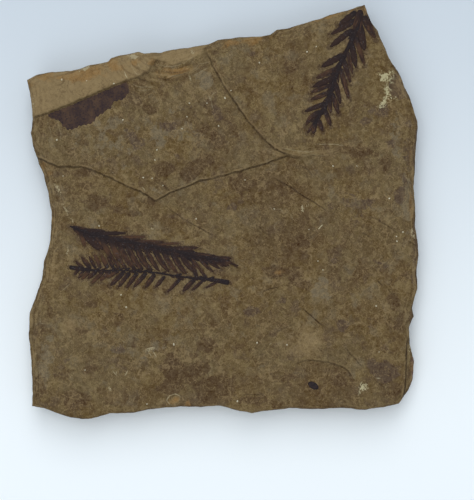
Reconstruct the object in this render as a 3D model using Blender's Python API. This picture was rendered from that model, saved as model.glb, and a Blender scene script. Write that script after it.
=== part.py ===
"""A slab of split mudstone with pressed twigs, a piece of leaf and a seed in its face.

The slab lies on its back: +Z comes out of the fossil face, +Y runs up the face and +X to its right.
The origin is under the middle of the slab, on the plane that it rests on.
Lengths are in millimetres until a mesh is written. Places on the face are measured from the lower left
corner of the box round the slab's outline, x to the right and y up the face.
"""

import math
from collections import namedtuple

import bmesh
import bpy
import numpy as np
from mathutils import Matrix, Vector
from mathutils.geometry import delaunay_2d_cdt

MM = 0.001

# Driving dimensions
FACE_LEVEL = 8.6            # height of the lowest bedding plane above the underside
WAVE_HEIGHT = 0.18          # gentle unevenness of the bedding planes
RISER = 0.3                 # width of the broken riser of a ledge, seen from the front
FILM_THICKNESS = 0.3        # coal that is left of a pressed plant
FILM_PROUD = 0.05           # how far a film stands out of the stone round it
CLEARANCE = 0.3             # gap between a film and its imprint
SEED_SIZE = (3.0, 1.8)      # length and width of the seed
SEED_PLACE = (71.6, 8.6)
SEED_TURN = math.radians(-30)
SEED_HEIGHT = 0.7
GRID_STEP = 5.5             # spacing of the points that carry the unevenness
RIM_STEPS = (0.35, 1.0)     # shares of the rim's width at which its curve has points
HOLLOW_STEPS = (0.45, 1.0)  # shares of a hollow's size at which its curve has points
HOLLOW_SIDES = 8
MERGE_DISTANCE = 1e-4       # points closer than this are one point
CUT_HEIGHT = 2.0            # how far the imprints' cutters stand out of the face

# The slab's outline, clockwise from the upper left corner, with the rim's width and drop on each side
Side = namedtuple("Side", "rim_width rim_drop points")
SIDES = [
    Side(2.4, 1.0, [
        (0.0, 85.0), (2.5, 86.4), (5.8, 87.0), (10.8, 87.4), (13.3, 88.0), (15.8, 88.9), (20.0, 89.6),
        (21.0, 90.6), (23.3, 91.3), (28.0, 92.2), (29.3, 91.8), (33.3, 92.2), (36.0, 92.9), (40.8, 93.6),
        (44.8, 94.1), (48.0, 95.3), (53.3, 96.0), (58.3, 96.1), (60.8, 96.6), (62.3, 97.8), (65.5, 98.1),
        (67.5, 98.9), (70.8, 99.8), (75.8, 101.4),
    ]),
    Side(1.0, 0.5, [
        (80.8, 102.8), (82.5, 103.5), (84.5, 104.0), (85.0, 102.8), (86.0, 99.8), (87.8, 97.3),
        (89.5, 93.5), (91.0, 90.0),
    ]),
    Side(3.6, 1.5, [
        (93.5, 86.5), (94.5, 83.8), (96.3, 80.0), (97.8, 75.1), (98.0, 73.3), (97.5, 68.8), (97.3, 63.8),
        (97.0, 58.3), (97.3, 53.8), (97.3, 48.8), (98.0, 44.5), (98.2, 41.3), (97.7, 37.5), (97.9, 32.8),
        (97.1, 30.0), (96.5, 27.8), (96.9, 25.8), (95.7, 23.0), (96.0, 19.3), (97.1, 14.5), (96.8, 10.0),
        (95.8, 7.3), (94.3, 5.5),
    ]),
    Side(1.2, 0.7, [
        (93.1, 3.9), (89.5, 3.1), (84.5, 2.4), (78.3, 2.9), (72.0, 2.5), (65.8, 2.8), (58.8, 2.0),
        (56.0, 1.5), (52.3, 2.3), (48.3, 3.3), (43.3, 3.1), (38.5, 3.1), (36.0, 3.0), (30.8, 2.5),
        (27.0, 1.6), (20.8, 1.4), (17.8, 0.6), (15.3, 0.0), (10.8, 0.5), (7.3, 1.6), (4.3, 2.8),
    ]),
    Side(4.2, 1.8, [
        (1.0, 3.3), (1.0, 7.5), (0.8, 14.5), (0.1, 21.3), (0.4, 26.8), (1.8, 30.5), (3.3, 35.0),
        (3.9, 39.8), (5.3, 43.8), (5.8, 48.0), (5.8, 52.0), (4.8, 57.5), (3.8, 61.5), (2.6, 64.3),
        (1.4, 68.0), (0.7, 71.8), (1.2, 75.5), (0.8, 80.0), (0.1, 83.5),
    ]),
]

# The broken edge below the outline: share of the height that is left, and how far in from the outline
EDGE_SHELVES = [(0.86, 0.15), (0.80, 0.65), (0.52, 0.45), (0.46, 1.15), (0.18, 0.95), (0.0, 1.9)]
EDGE_WANDER = 0.45          # how much the shelves come and go along the edge

# A ledge: the rock on the left of the line is higher, and thins away over its reach.
# Each end fades in over a length, or runs off the slab where that length is zero.
Ledge = namedtuple("Ledge", "line rise reach fade_start fade_end")
LEDGES = {
    "top band": Ledge([
        (-3.0, 74.8), (1.3, 75.5), (5.5, 76.8), (10.8, 79.0), (18.3, 82.2), (24.8, 84.8), (29.8, 86.1),
        (31.5, 88.0), (34.0, 89.5), (37.0, 93.3), (38.5, 97.0),
    ], 0.8, 60.0, 0.0, 0.0),
    "kite": Ledge([
        (-3.0, 67.5), (4.5, 65.0), (7.5, 63.4), (13.3, 63.4), (18.3, 61.8), (23.3, 59.4), (28.3, 57.3),
        (32.0, 54.8), (35.8, 56.8), (43.3, 59.8), (50.8, 61.6), (57.8, 63.6), (63.3, 65.4), (65.3, 66.0),
        (68.3, 65.4), (70.3, 63.4),
    ], 0.5, 45.0, 0.0, 5.0),
    "right sheet": Ledge([
        (43.0, 98.0), (45.3, 91.0), (46.5, 88.5), (49.5, 83.3), (52.8, 78.3), (55.0, 75.0), (59.5, 70.0),
        (62.0, 67.8), (65.0, 66.4), (68.6, 65.8), (71.0, 63.6),
    ], 0.45, 45.0, 0.0, 5.0),
    "lower arc": Ledge([
        (65.3, 9.8), (67.5, 11.5), (68.3, 14.3), (72.0, 15.0), (77.0, 14.0), (81.0, 12.3), (82.0, 8.8),
        (82.5, 5.5),
    ], 0.4, 12.0, 3.0, 4.0),
}

# A break: the rock on the right of the line slopes down over the given width and stays down
Break = namedtuple("Break", "line drop width fade_start fade_end")
BREAKS = {
    "shelly top break": Break([
        (47.5, 89.5), (45.8, 88.8), (40.8, 87.0), (38.3, 86.3), (35.8, 85.3), (31.5, 84.9),
    ], 1.5, 6.0, 4.0, 3.0),
    "lower right sheet": Break([
        (93.2, 1.0), (93.8, 4.0), (94.3, 6.3), (94.8, 13.8), (94.9, 18.8), (95.6, 22.5),
    ], 0.9, 0.5, 0.0, 4.0),
}

# Hollows in the face: place, half sizes and depth
HOLLOWS = [((92.0, 83.6), (1.9, 2.7), 0.7)]

# A leaflet: foot on the stem, tip, width, and how far its middle bows to the left of foot to tip
Leaflet = namedtuple("Leaflet", "foot tip width bow", defaults=(0.0,))
# Share of a leaflet's length, and its width there as a share of the full width
LEAFLET_FORM = [(0.0, 0.55), (0.3, 1.0), (0.78, 0.85)]

RIGHT_STEM = [
    (83.5, 102.2), (83.3, 99.5), (82.0, 96.8), (80.8, 93.0), (78.8, 90.0), (77.8, 87.5), (77.0, 85.3),
    (76.3, 82.5), (75.5, 79.5), (74.5, 77.5), (73.0, 75.3), (71.5, 72.2),
]
RIGHT_STEM_WIDTHS = (0.9, 0.5)
RIGHT_LEAFLETS = [
    Leaflet((83.0, 102.3), (77.8, 98.8), 1.0),
    Leaflet((83.0, 100.1), (75.6, 96.4), 1.2),
    Leaflet((82.4, 98.1), (75.8, 93.1), 1.1),
    Leaflet((80.0, 91.4), (73.6, 88.0), 1.2),
    Leaflet((78.2, 88.5), (72.3, 85.4), 1.4),
    Leaflet((77.6, 86.3), (71.5, 83.3), 1.2),
    Leaflet((76.9, 84.4), (71.0, 81.9), 0.9),
    Leaflet((76.2, 82.7), (71.0, 80.0), 0.8),
    Leaflet((75.4, 80.0), (69.4, 77.0), 1.0),
    Leaflet((74.6, 78.0), (69.5, 73.5), 1.3, -0.6),
    Leaflet((72.8, 74.8), (70.0, 71.6), 0.7),
    Leaflet((83.7, 101.5), (87.2, 95.4), 1.0, 0.3),
    Leaflet((83.1, 99.2), (84.4, 92.0), 1.5, 0.3),
    Leaflet((81.8, 96.6), (84.3, 88.6), 0.8),
    Leaflet((80.9, 93.6), (82.3, 88.0), 1.1),
    Leaflet((80.0, 91.6), (81.4, 86.6), 0.8),
    Leaflet((78.9, 90.2), (81.0, 84.3), 1.0),
    Leaflet((78.0, 87.7), (80.5, 80.3), 1.2),
    Leaflet((77.0, 85.0), (78.3, 78.9), 1.1),
    Leaflet((76.2, 82.0), (77.8, 76.4), 1.1),
    Leaflet((75.4, 80.0), (75.9, 76.6), 0.7),
    Leaflet((74.6, 78.0), (75.8, 73.5), 0.9),
    Leaflet((73.2, 75.8), (73.6, 72.3), 0.9),
    Leaflet((72.2, 73.6), (71.2, 71.2), 1.0),
]

UPPER_STEM = [
    (10.5, 48.5), (13.3, 47.8), (18.3, 46.0), (23.3, 45.1), (28.3, 44.1), (33.3, 43.0), (38.3, 41.5),
    (43.3, 40.8), (48.3, 40.0), (51.0, 39.8),
]
UPPER_STEM_WIDTHS = (0.5, 1.2)
UPPER_LEAFLETS = [
    Leaflet((11.2, 48.3), (16.3, 47.3), 0.8),
    Leaflet((14.0, 47.4), (20.8, 46.8), 0.9),
    Leaflet((18.0, 46.1), (24.3, 46.9), 1.0),
    Leaflet((22.6, 45.2), (29.5, 46.0), 1.0),
    Leaflet((27.6, 44.3), (34.3, 44.6), 1.0),
    Leaflet((32.8, 43.1), (38.8, 44.3), 0.6),
    Leaflet((37.0, 42.1), (43.0, 43.2), 0.9),
    Leaflet((40.2, 41.2), (45.0, 41.9), 0.8),
    Leaflet((11.6, 48.1), (13.3, 46.1), 0.9),
    Leaflet((13.4, 47.6), (14.8, 43.1), 1.0, -0.2),
    Leaflet((15.6, 46.9), (18.4, 42.3), 1.0, -0.2),
    Leaflet((17.8, 46.1), (20.5, 42.2), 1.0, -0.2),
    Leaflet((20.0, 45.6), (23.3, 38.0), 1.1, -0.3),
    Leaflet((22.2, 45.2), (25.3, 38.8), 1.0, -0.3),
    Leaflet((24.3, 44.8), (27.5, 37.4), 1.0, -0.3),
    Leaflet((26.4, 44.4), (29.9, 37.2), 1.0, -0.3),
    Leaflet((28.7, 43.9), (32.4, 36.8), 1.0, -0.3),
    Leaflet((30.9, 43.4), (35.0, 36.3), 1.0, -0.3),
    Leaflet((33.3, 42.9), (37.5, 35.9), 1.1, -0.3),
    Leaflet((35.5, 42.2), (40.0, 35.7), 1.0, -0.3),
    Leaflet((37.9, 41.5), (42.1, 35.9), 1.0, -0.3),
    Leaflet((40.1, 41.1), (44.2, 36.3), 1.0, -0.2),
    Leaflet((42.2, 40.8), (45.6, 37.0), 0.9, -0.2),
    Leaflet((44.2, 40.5), (47.0, 37.0), 1.0, -0.2),
    Leaflet((46.6, 40.1), (48.5, 37.7), 1.0),
]

LOWER_STEM = [
    (10.3, 38.3), (14.5, 37.8), (19.5, 37.4), (27.0, 37.4), (30.8, 37.0), (33.3, 36.3), (38.3, 35.8),
    (43.3, 35.5), (47.3, 35.0), (50.8, 34.0),
]
LOWER_STEM_WIDTHS = (0.8, 1.3)
LOWER_LEAFLETS = [
    Leaflet((13.0, 37.9), (12.0, 36.4), 0.6),
    Leaflet((14.6, 37.7), (13.1, 35.9), 0.8),
    Leaflet((15.9, 37.6), (14.2, 35.0), 1.0),
    Leaflet((17.4, 37.5), (15.4, 35.4), 0.8),
    Leaflet((18.3, 37.4), (16.6, 33.9), 0.8),
    Leaflet((20.9, 37.3), (18.2, 34.7), 1.0),
    Leaflet((23.9, 37.3), (21.0, 33.5), 1.3),
    Leaflet((25.6, 37.3), (23.0, 33.3), 1.0),
    Leaflet((27.2, 37.3), (25.0, 33.0), 0.8),
    Leaflet((30.4, 36.9), (26.8, 33.2), 0.9),
    Leaflet((33.2, 36.3), (29.9, 33.0), 1.0),
    Leaflet((35.5, 36.0), (32.6, 33.0), 0.7),
    Leaflet((38.4, 35.7), (34.9, 31.8), 0.8),
    Leaflet((41.3, 35.6), (39.3, 32.0), 1.0),
    Leaflet((44.0, 35.4), (41.3, 32.1), 0.8),
    Leaflet((47.3, 34.9), (44.6, 32.8), 0.6),
    Leaflet((14.8, 37.8), (12.3, 39.9), 0.6),
    Leaflet((15.6, 37.7), (13.6, 40.9), 0.8),
    Leaflet((16.6, 37.7), (15.5, 40.9), 0.6),
    Leaflet((18.0, 37.6), (16.9, 41.5), 0.7),
    Leaflet((19.2, 37.6), (18.6, 41.5), 0.7),
    Leaflet((20.8, 37.5), (20.3, 41.0), 0.7),
    Leaflet((22.8, 37.5), (21.2, 39.7), 0.7),
    Leaflet((45.8, 35.3), (44.6, 37.8), 0.9),
]

LEAF_OUTLINE = [
    (5.9, 76.0), (8.3, 77.1), (13.3, 79.2), (18.3, 81.3), (24.3, 83.7), (25.3, 83.3), (25.6, 82.5),
    (25.3, 81.5), (24.0, 80.1), (22.8, 79.8), (21.5, 79.3), (21.0, 77.8), (19.8, 77.3), (18.8, 76.3),
    (17.5, 75.8), (17.0, 74.8), (16.0, 74.1), (15.0, 73.8), (13.0, 73.5), (12.3, 72.8), (10.3, 72.3),
    (8.8, 73.5), (8.5, 74.5), (7.3, 75.1), (6.6, 75.6),
]

# Colour, roughness
MUDSTONE = ((0.150, 0.108, 0.062, 1.0), 0.85)
COAL = ((0.028, 0.019, 0.018, 1.0), 0.60)
LEAF_COAL = ((0.055, 0.033, 0.028, 1.0), 0.65)
SEED_COAL = ((0.035, 0.022, 0.020, 1.0), 0.55)

OUTLINE = [place for side in SIDES for place in side.points]
BOX_LOW = np.min(OUTLINE, axis=0)
BOX_HIGH = np.max(OUTLINE, axis=0)
CENTRE = (BOX_LOW + BOX_HIGH) / 2
TO_METRES = Matrix.Scale(MM, 4) @ Matrix.Translation((-CENTRE[0], -CENTRE[1], 0.0))


def smooth(share):
    """An easy slope from 0 to 1."""
    share = np.clip(share, 0.0, 1.0)
    return share * share * (3.0 - 2.0 * share)


def beside_line(places, line):
    """For each place: its distance from the line, plus on the left, and how far along the line that is."""
    nearest = np.full(len(places), np.inf)
    side = np.ones(len(places))
    along = np.zeros(len(places))
    passed = 0.0
    for start, end in zip(line[:-1], line[1:]):
        start = np.array(start)
        run = np.array(end) - start
        length = math.hypot(*run)
        share = np.clip((places - start) @ run / length ** 2, 0.0, 1.0)
        off = places - start - share[:, None] * run
        distance = np.hypot(off[:, 0], off[:, 1])
        closer = distance < nearest
        nearest = np.where(closer, distance, nearest)
        side = np.where(closer, np.where(run[0] * off[:, 1] >= run[1] * off[:, 0], 1.0, -1.0), side)
        along = np.where(closer, passed + share * length, along)
        passed += length
    return side * nearest, along, passed


def ends(along, length, fade_start, fade_end):
    """1 along a line, fading to 0 at the ends that have a fading length."""
    share = np.ones(len(along))
    if fade_start:
        share = share * smooth(along / fade_start)
    if fade_end:
        share = share * smooth((length - along) / fade_end)
    return share


def ledge_height(places, ledge):
    distance, along, length = beside_line(places, ledge.line)
    lifted = smooth(distance / RISER + 0.5) * (1.0 - smooth(distance / ledge.reach))
    return ledge.rise * lifted * ends(along, length, ledge.fade_start, ledge.fade_end)


def break_depth(places, edge):
    distance, along, length = beside_line(places, edge.line)
    return edge.drop * smooth(-distance / edge.width) * ends(along, length, edge.fade_start, edge.fade_end)


def rim_depth(places):
    """How far the worn rim falls below the face: most at the outline, nothing at the rim's width."""
    widths = []
    drops = []
    for side in SIDES:
        widths += [side.rim_width] * len(side.points)
        drops += [side.rim_drop] * len(side.points)
    line = OUTLINE + OUTLINE[:1]
    distance, along, _ = beside_line(places, line)
    corners = np.cumsum([0.0] + [math.dist(a, b) for a, b in zip(line[:-1], line[1:])])
    width = np.interp(along, corners, widths + widths[:1])
    drop = np.interp(along, corners, drops + drops[:1])
    return drop * np.clip(1.0 - np.abs(distance) / width, 0.0, 1.0) ** 2


def waves(places):
    x, y = places[:, 0], places[:, 1]
    broad = np.sin(x / 11.0 + 0.6) * np.cos(y / 14.0 - 0.4)
    short = np.sin((x + y) / 7.5) * np.cos((x - y) / 9.0)
    return WAVE_HEIGHT * (broad + 0.6 * short)


def face_height(places):
    """Height of the fossil face above the underside."""
    places = np.asarray(places, dtype=float)
    height = FACE_LEVEL + waves(places) - rim_depth(places)
    for ledge in LEDGES.values():
        height = height + ledge_height(places, ledge)
    for edge in BREAKS.values():
        height = height - break_depth(places, edge)
    for middle, half, depth in HOLLOWS:
        reach = np.hypot((places[:, 0] - middle[0]) / half[0], (places[:, 1] - middle[1]) / half[1])
        height = height - depth * smooth(1.0 - reach)
    return height


def normals(line, closed=False):
    """Unit vectors to the left of a line's run, one at each of its points."""
    line = np.asarray(line, dtype=float)
    if closed:
        run = np.roll(line, -1, axis=0) - np.roll(line, 1, axis=0)
    else:
        run = np.gradient(line, axis=0)
    left = np.column_stack((-run[:, 1], run[:, 0]))
    return left / np.linalg.norm(left, axis=1)[:, None]


def material(name, finish):
    colour, roughness = finish
    made = bpy.data.materials.new(name)
    made.use_nodes = True
    shader = made.node_tree.nodes["Principled BSDF"]
    shader.inputs["Base Color"].default_value = colour
    shader.inputs["Roughness"].default_value = roughness
    return made


def add_object(name, mesh_source, finish=None):
    """A bmesh in millimetres becomes a named object in metres."""
    bmesh.ops.transform(mesh_source, matrix=TO_METRES, verts=mesh_source.verts)
    bmesh.ops.recalc_face_normals(mesh_source, faces=mesh_source.faces)
    mesh = bpy.data.meshes.new(name)
    mesh_source.to_mesh(mesh)
    mesh_source.free()
    thing = bpy.data.objects.new(name, mesh)
    bpy.context.collection.objects.link(thing)
    if finish:
        mesh.materials.append(finish)
    return thing


def ring_area(ring):
    """The area inside a closed outline, plus where it runs anticlockwise."""
    return sum(a[0] * b[1] - b[0] * a[1] for a, b in zip(ring, ring[1:] + ring[:1])) / 2


def sheet(outlines):
    """One flat sheet that covers all the outlines: overlapping outlines melt together."""
    points = []
    faces = []
    for outline in outlines:
        if ring_area(outline) < 0:
            outline = outline[::-1]
        faces.append(list(range(len(points), len(points) + len(outline))))
        points += [Vector(place) for place in outline]
    points, _, triangles, _, _, owners = delaunay_2d_cdt(points, [], faces, 0, MERGE_DISTANCE)
    flat = bmesh.new()
    corners = [flat.verts.new((point.x, point.y, 0.0)) for point in points]
    for triangle, owner in zip(triangles, owners):
        if owner:
            flat.faces.new([corners[index] for index in triangle])
    loose = [corner for corner in flat.verts if not corner.link_faces]
    bmesh.ops.delete(flat, geom=loose, context="VERTS")
    bmesh.ops.dissolve_limit(flat, angle_limit=math.radians(1), verts=flat.verts, edges=flat.edges)
    bmesh.ops.triangulate(flat, faces=flat.faces)
    return flat


def raise_sheet(flat, below, above):
    """Turn a flat sheet into a body that follows the face, from below it to above it."""
    lifted = bmesh.ops.extrude_face_region(flat, geom=flat.faces[:])["geom"]
    top = {piece for piece in lifted if isinstance(piece, bmesh.types.BMVert)}
    corners = list(flat.verts)
    heights = face_height([(corner.co.x, corner.co.y) for corner in corners])
    for corner, height in zip(corners, heights):
        corner.co.z = height + (above if corner in top else below)
    return flat


def leaflet_outline(leaflet, grow):
    """Both sides of a leaflet from its foot to its tip, wider and longer by grow."""
    foot = np.array(leaflet.foot)
    tip = np.array(leaflet.tip)
    ahead = (tip - foot) / math.dist(tip, foot)
    left = np.array((-ahead[1], ahead[0]))
    tip = tip + ahead * grow
    stations = []
    for share, wide in LEAFLET_FORM:
        middle = foot + (tip - foot) * share + left * leaflet.bow * 4 * share * (1 - share)
        stations.append((middle, left * (leaflet.width * wide / 2 + grow)))
    outline = [middle - half for middle, half in stations]
    outline += [tip - left * grow, tip + left * grow] if grow else [tip]
    outline += [middle + half for middle, half in reversed(stations)]
    return outline


def stem_outline(line, widths, grow):
    """A ribbon along the stem whose width runs from the first of the widths to the last."""
    middle = np.array(line)
    half = np.linspace(widths[0], widths[1], len(line))[:, None] / 2 + grow
    left = normals(line)
    ahead = np.column_stack((left[:, 1], -left[:, 0]))
    middle[0] -= ahead[0] * grow
    middle[-1] += ahead[-1] * grow
    return list(middle - left * half) + list((middle + left * half)[::-1])


def twig_outlines(stems, grow=0.0):
    """The outlines of whole twigs, each given as a stem, its widths and its leaflets."""
    outlines = []
    for line, widths, leaflets in stems:
        outlines.append(stem_outline(line, widths, grow))
        outlines += [leaflet_outline(leaflet, grow) for leaflet in leaflets]
    return outlines


def grown_outline(outline, grow):
    """A clockwise outline moved outwards by grow."""
    return list(np.array(outline) + normals(outline, closed=True) * grow)


def oval(size, steps=14):
    """A clockwise oval of the given length and width, in the seed's place and turn."""
    turns = -np.arange(steps) * 2 * math.pi / steps
    x, y = np.cos(turns) * size[0] / 2, np.sin(turns) * size[1] / 2
    across = SEED_PLACE[0] + x * math.cos(SEED_TURN) - y * math.sin(SEED_TURN)
    up = SEED_PLACE[1] + x * math.sin(SEED_TURN) + y * math.cos(SEED_TURN)
    return list(zip(across, up))


def face_points():
    """The points and lines that the face is built on: outline, ledge risers, rim and an even grid."""
    points = [Vector(place) for place in OUTLINE]
    count = len(OUTLINE)
    edges = [(index, (index + 1) % count) for index in range(count)]
    lines = [ledge.line for ledge in LEDGES.values()]
    for line in lines:
        for offset in (RISER / 2, -RISER / 2):
            first = len(points)
            moved = np.array(line) + normals(line) * offset
            points += [Vector(place) for place in moved]
            edges += [(first + index, first + index + 1) for index in range(len(line) - 1)]
    inward = -normals(OUTLINE, closed=True)
    rim = np.array([side.rim_width for side in SIDES for _ in side.points])[:, None]
    spare = [np.array(OUTLINE) + inward * rim * share for share in RIM_STEPS]
    steps = [np.arange(low + GRID_STEP / 2, high, GRID_STEP) for low, high in zip(BOX_LOW, BOX_HIGH)]
    across, up = np.meshgrid(*steps)
    spare.append(np.column_stack((across.ravel(), up.ravel())))
    for middle, half, _ in HOLLOWS:
        turns = np.arange(HOLLOW_SIDES) * 2 * math.pi / HOLLOW_SIDES
        ring = np.column_stack((np.cos(turns) * half[0], np.sin(turns) * half[1]))
        spare += [np.array(middle) + ring * share for share in HOLLOW_STEPS]
        spare.append(np.array([middle]))
    spare = np.vstack(spare)
    keep = beside_line(spare, OUTLINE + OUTLINE[:1])[0] < -RISER
    for line in lines:
        keep &= np.abs(beside_line(spare, line)[0]) > 2 * RISER
    points += [Vector(place) for place in spare[keep]]
    return points, edges


def build_face():
    """The fossil face as an open mesh, and its border as a ring of corners, anticlockwise."""
    points, edges = face_points()
    points, _, triangles, _, _, _ = delaunay_2d_cdt(points, edges, [], 0, MERGE_DISTANCE)
    places = np.array(points)
    middles = places[np.array(triangles)].mean(axis=1)
    inside = beside_line(middles, OUTLINE + OUTLINE[:1])[0] < 0
    face = bmesh.new()
    corners = [face.verts.new((*place, height)) for place, height in zip(places, face_height(places))]
    for triangle, within in zip(triangles, inside):
        if within:
            face.faces.new([corners[index] for index in triangle])
    bmesh.ops.delete(face, geom=[corner for corner in face.verts if not corner.link_faces], context="VERTS")
    bmesh.ops.recalc_face_normals(face, faces=face.faces)
    border = {edge for edge in face.edges if edge.is_boundary}
    corner = min((end for edge in border for end in edge.verts), key=lambda end: end.co.x)
    ring = []
    while border:
        edge = next(edge for edge in corner.link_edges if edge in border)
        border.remove(edge)
        ring.append(corner)
        corner = edge.other_vert(corner)
    return face, ring if ring_area([tuple(corner.co) for corner in ring]) > 0 else ring[::-1]


def build_slab(finish):
    """The face, the broken edge in shelves below it, and the flat underside."""
    slab, ring = build_face()
    border = np.array([corner.co for corner in ring])
    inward = normals(border[:, :2], closed=True)
    around = np.arange(len(ring)) * 2 * math.pi / len(ring)
    upper = ring
    for level, (share, inset) in enumerate(EDGE_SHELVES):
        wander = EDGE_WANDER * inset * (np.sin(5 * around + 2 * level) + 0.7 * np.sin(13 * around - level))
        shift = inward * (inset + np.maximum(wander, -0.6 * inset))[:, None]
        lower = []
        for corner, step in zip(border, shift):
            lower.append(slab.verts.new((corner[0] + step[0], corner[1] + step[1], corner[2] * share)))
        for index in range(len(ring)):
            after = (index + 1) % len(ring)
            slab.faces.new((upper[after], upper[index], lower[index], lower[after]))
        upper = lower
    slab.faces.new(upper[::-1])
    bmesh.ops.triangulate(slab, faces=slab.faces)
    return add_object("slab", slab, finish)


def build_film(name, outlines, finish):
    film = raise_sheet(sheet(outlines), FILM_PROUD - FILM_THICKNESS, FILM_PROUD)
    return add_object(name, film, finish)


def build_seed(finish):
    """A flattened seed, half sunk in the stone."""
    seed = bmesh.new()
    level = float(face_height([SEED_PLACE])[0])
    form = Matrix.Diagonal((SEED_SIZE[0] / 2, SEED_SIZE[1] / 2, SEED_HEIGHT / 2, 1.0))
    place = Matrix.Translation((*SEED_PLACE, level)) @ Matrix.Rotation(SEED_TURN, 4, "Z")
    bmesh.ops.create_icosphere(seed, subdivisions=2, radius=1.0, matrix=place @ form)
    thing = add_object("seed", seed, finish)
    thing.data.shade_smooth()
    return thing


def cut_imprint(slab, name, outlines, depth):
    """Sink a bed into the slab for what lies there, wider and deeper by the clearance."""
    bed = raise_sheet(sheet(outlines), -depth - CLEARANCE, CUT_HEIGHT)
    cutter = add_object(name + "_imprint", bed)
    cutter.hide_render = True
    cutter.display_type = "WIRE"
    cut = slab.modifiers.new(name, "BOOLEAN")
    cut.operation = "DIFFERENCE"
    cut.solver = "EXACT"
    cut.object = cutter


def main():
    for thing in list(bpy.data.objects):
        bpy.data.objects.remove(thing)
    slab = build_slab(material("mudstone", MUDSTONE))
    coal = material("coal", COAL)
    right_twig = [(RIGHT_STEM, RIGHT_STEM_WIDTHS, RIGHT_LEAFLETS)]
    left_twigs = [
        (UPPER_STEM, UPPER_STEM_WIDTHS, UPPER_LEAFLETS),
        (LOWER_STEM, LOWER_STEM_WIDTHS, LOWER_LEAFLETS),
    ]
    film_depth = FILM_THICKNESS - FILM_PROUD
    build_film("twig_upper_right", twig_outlines(right_twig), coal)
    cut_imprint(slab, "twig_upper_right", twig_outlines(right_twig, CLEARANCE), film_depth)
    build_film("twigs_left", twig_outlines(left_twigs), coal)
    cut_imprint(slab, "twigs_left", twig_outlines(left_twigs, CLEARANCE), film_depth)
    build_film("leaf_fragment", [LEAF_OUTLINE], material("leaf_coal", LEAF_COAL))
    cut_imprint(slab, "leaf_fragment", [grown_outline(LEAF_OUTLINE, CLEARANCE)], film_depth)
    build_seed(material("seed_coal", SEED_COAL))
    seed_bed = (SEED_SIZE[0] + 2 * CLEARANCE, SEED_SIZE[1] + 2 * CLEARANCE)
    cut_imprint(slab, "seed", [oval(seed_bed)], SEED_HEIGHT / 2)


main()
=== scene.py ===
# %% [markdown]
# # A fossil plate: pressed twigs in a slab of mudstone
#
# A piece of lake mud settled in thin sheets, turned to stone, and was split open with a chisel. In the
# bedding plane lie conifer twigs, a torn broad leaf and a seed, each pressed to a film of coal.
#
# The solids of the slab and the films come ready made, as a fixed frame. This script dresses them: it
# makes a finer surface for each one and gives it a finish worked out by nodes.

# %% Load the fixed frame
import math
from collections import namedtuple

import bpy
import numpy as np
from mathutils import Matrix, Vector


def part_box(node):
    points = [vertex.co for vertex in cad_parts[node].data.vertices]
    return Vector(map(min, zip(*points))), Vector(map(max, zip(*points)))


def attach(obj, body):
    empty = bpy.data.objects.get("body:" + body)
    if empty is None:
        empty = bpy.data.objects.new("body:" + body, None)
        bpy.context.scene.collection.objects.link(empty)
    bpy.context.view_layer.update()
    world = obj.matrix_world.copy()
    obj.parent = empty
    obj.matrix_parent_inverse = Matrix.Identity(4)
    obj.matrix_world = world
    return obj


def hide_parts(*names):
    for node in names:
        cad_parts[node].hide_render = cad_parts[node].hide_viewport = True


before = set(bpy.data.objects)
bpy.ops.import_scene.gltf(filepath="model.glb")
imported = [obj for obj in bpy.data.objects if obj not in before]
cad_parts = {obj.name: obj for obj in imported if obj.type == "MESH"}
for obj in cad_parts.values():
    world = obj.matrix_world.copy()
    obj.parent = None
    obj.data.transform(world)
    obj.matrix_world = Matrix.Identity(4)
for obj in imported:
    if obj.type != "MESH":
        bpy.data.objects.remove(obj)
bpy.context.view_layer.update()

print("nodes to dress:", sorted(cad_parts))

# %% [markdown]
# ## Units and the slab's corner
#
# Places on the face are easiest to read off a picture in millimetres, from the lower left corner of the
# box round the slab, x to the right and y up. Blender works in metres round the slab's middle. One small
# function takes the one to the other, so every other number can stay in millimetres.

# %% Millimetres on the face to metres in the scene
MM = 0.001
SLAB_LOW, SLAB_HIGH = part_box("slab")
TOP_LIMIT = SLAB_HIGH.z / MM - 0.01


def in_metres(x, y, z):
    """Columns of x, y and z in millimetres from the slab's corner become rows of places in metres."""
    return np.column_stack((SLAB_LOW.x + x * MM, SLAB_LOW.y + y * MM, z * MM))


print("slab, mm:", [round(side / MM, 1) for side in SLAB_HIGH - SLAB_LOW])

# %% [markdown]
# ## The outline
#
# The slab is a rough four-sided piece. Its outline could be one closed list, but four sides, each from
# corner to corner, let the face be worked out as a grid between them. Each side also says how wide its
# worn rim is and how far the rim falls below the face.

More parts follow.
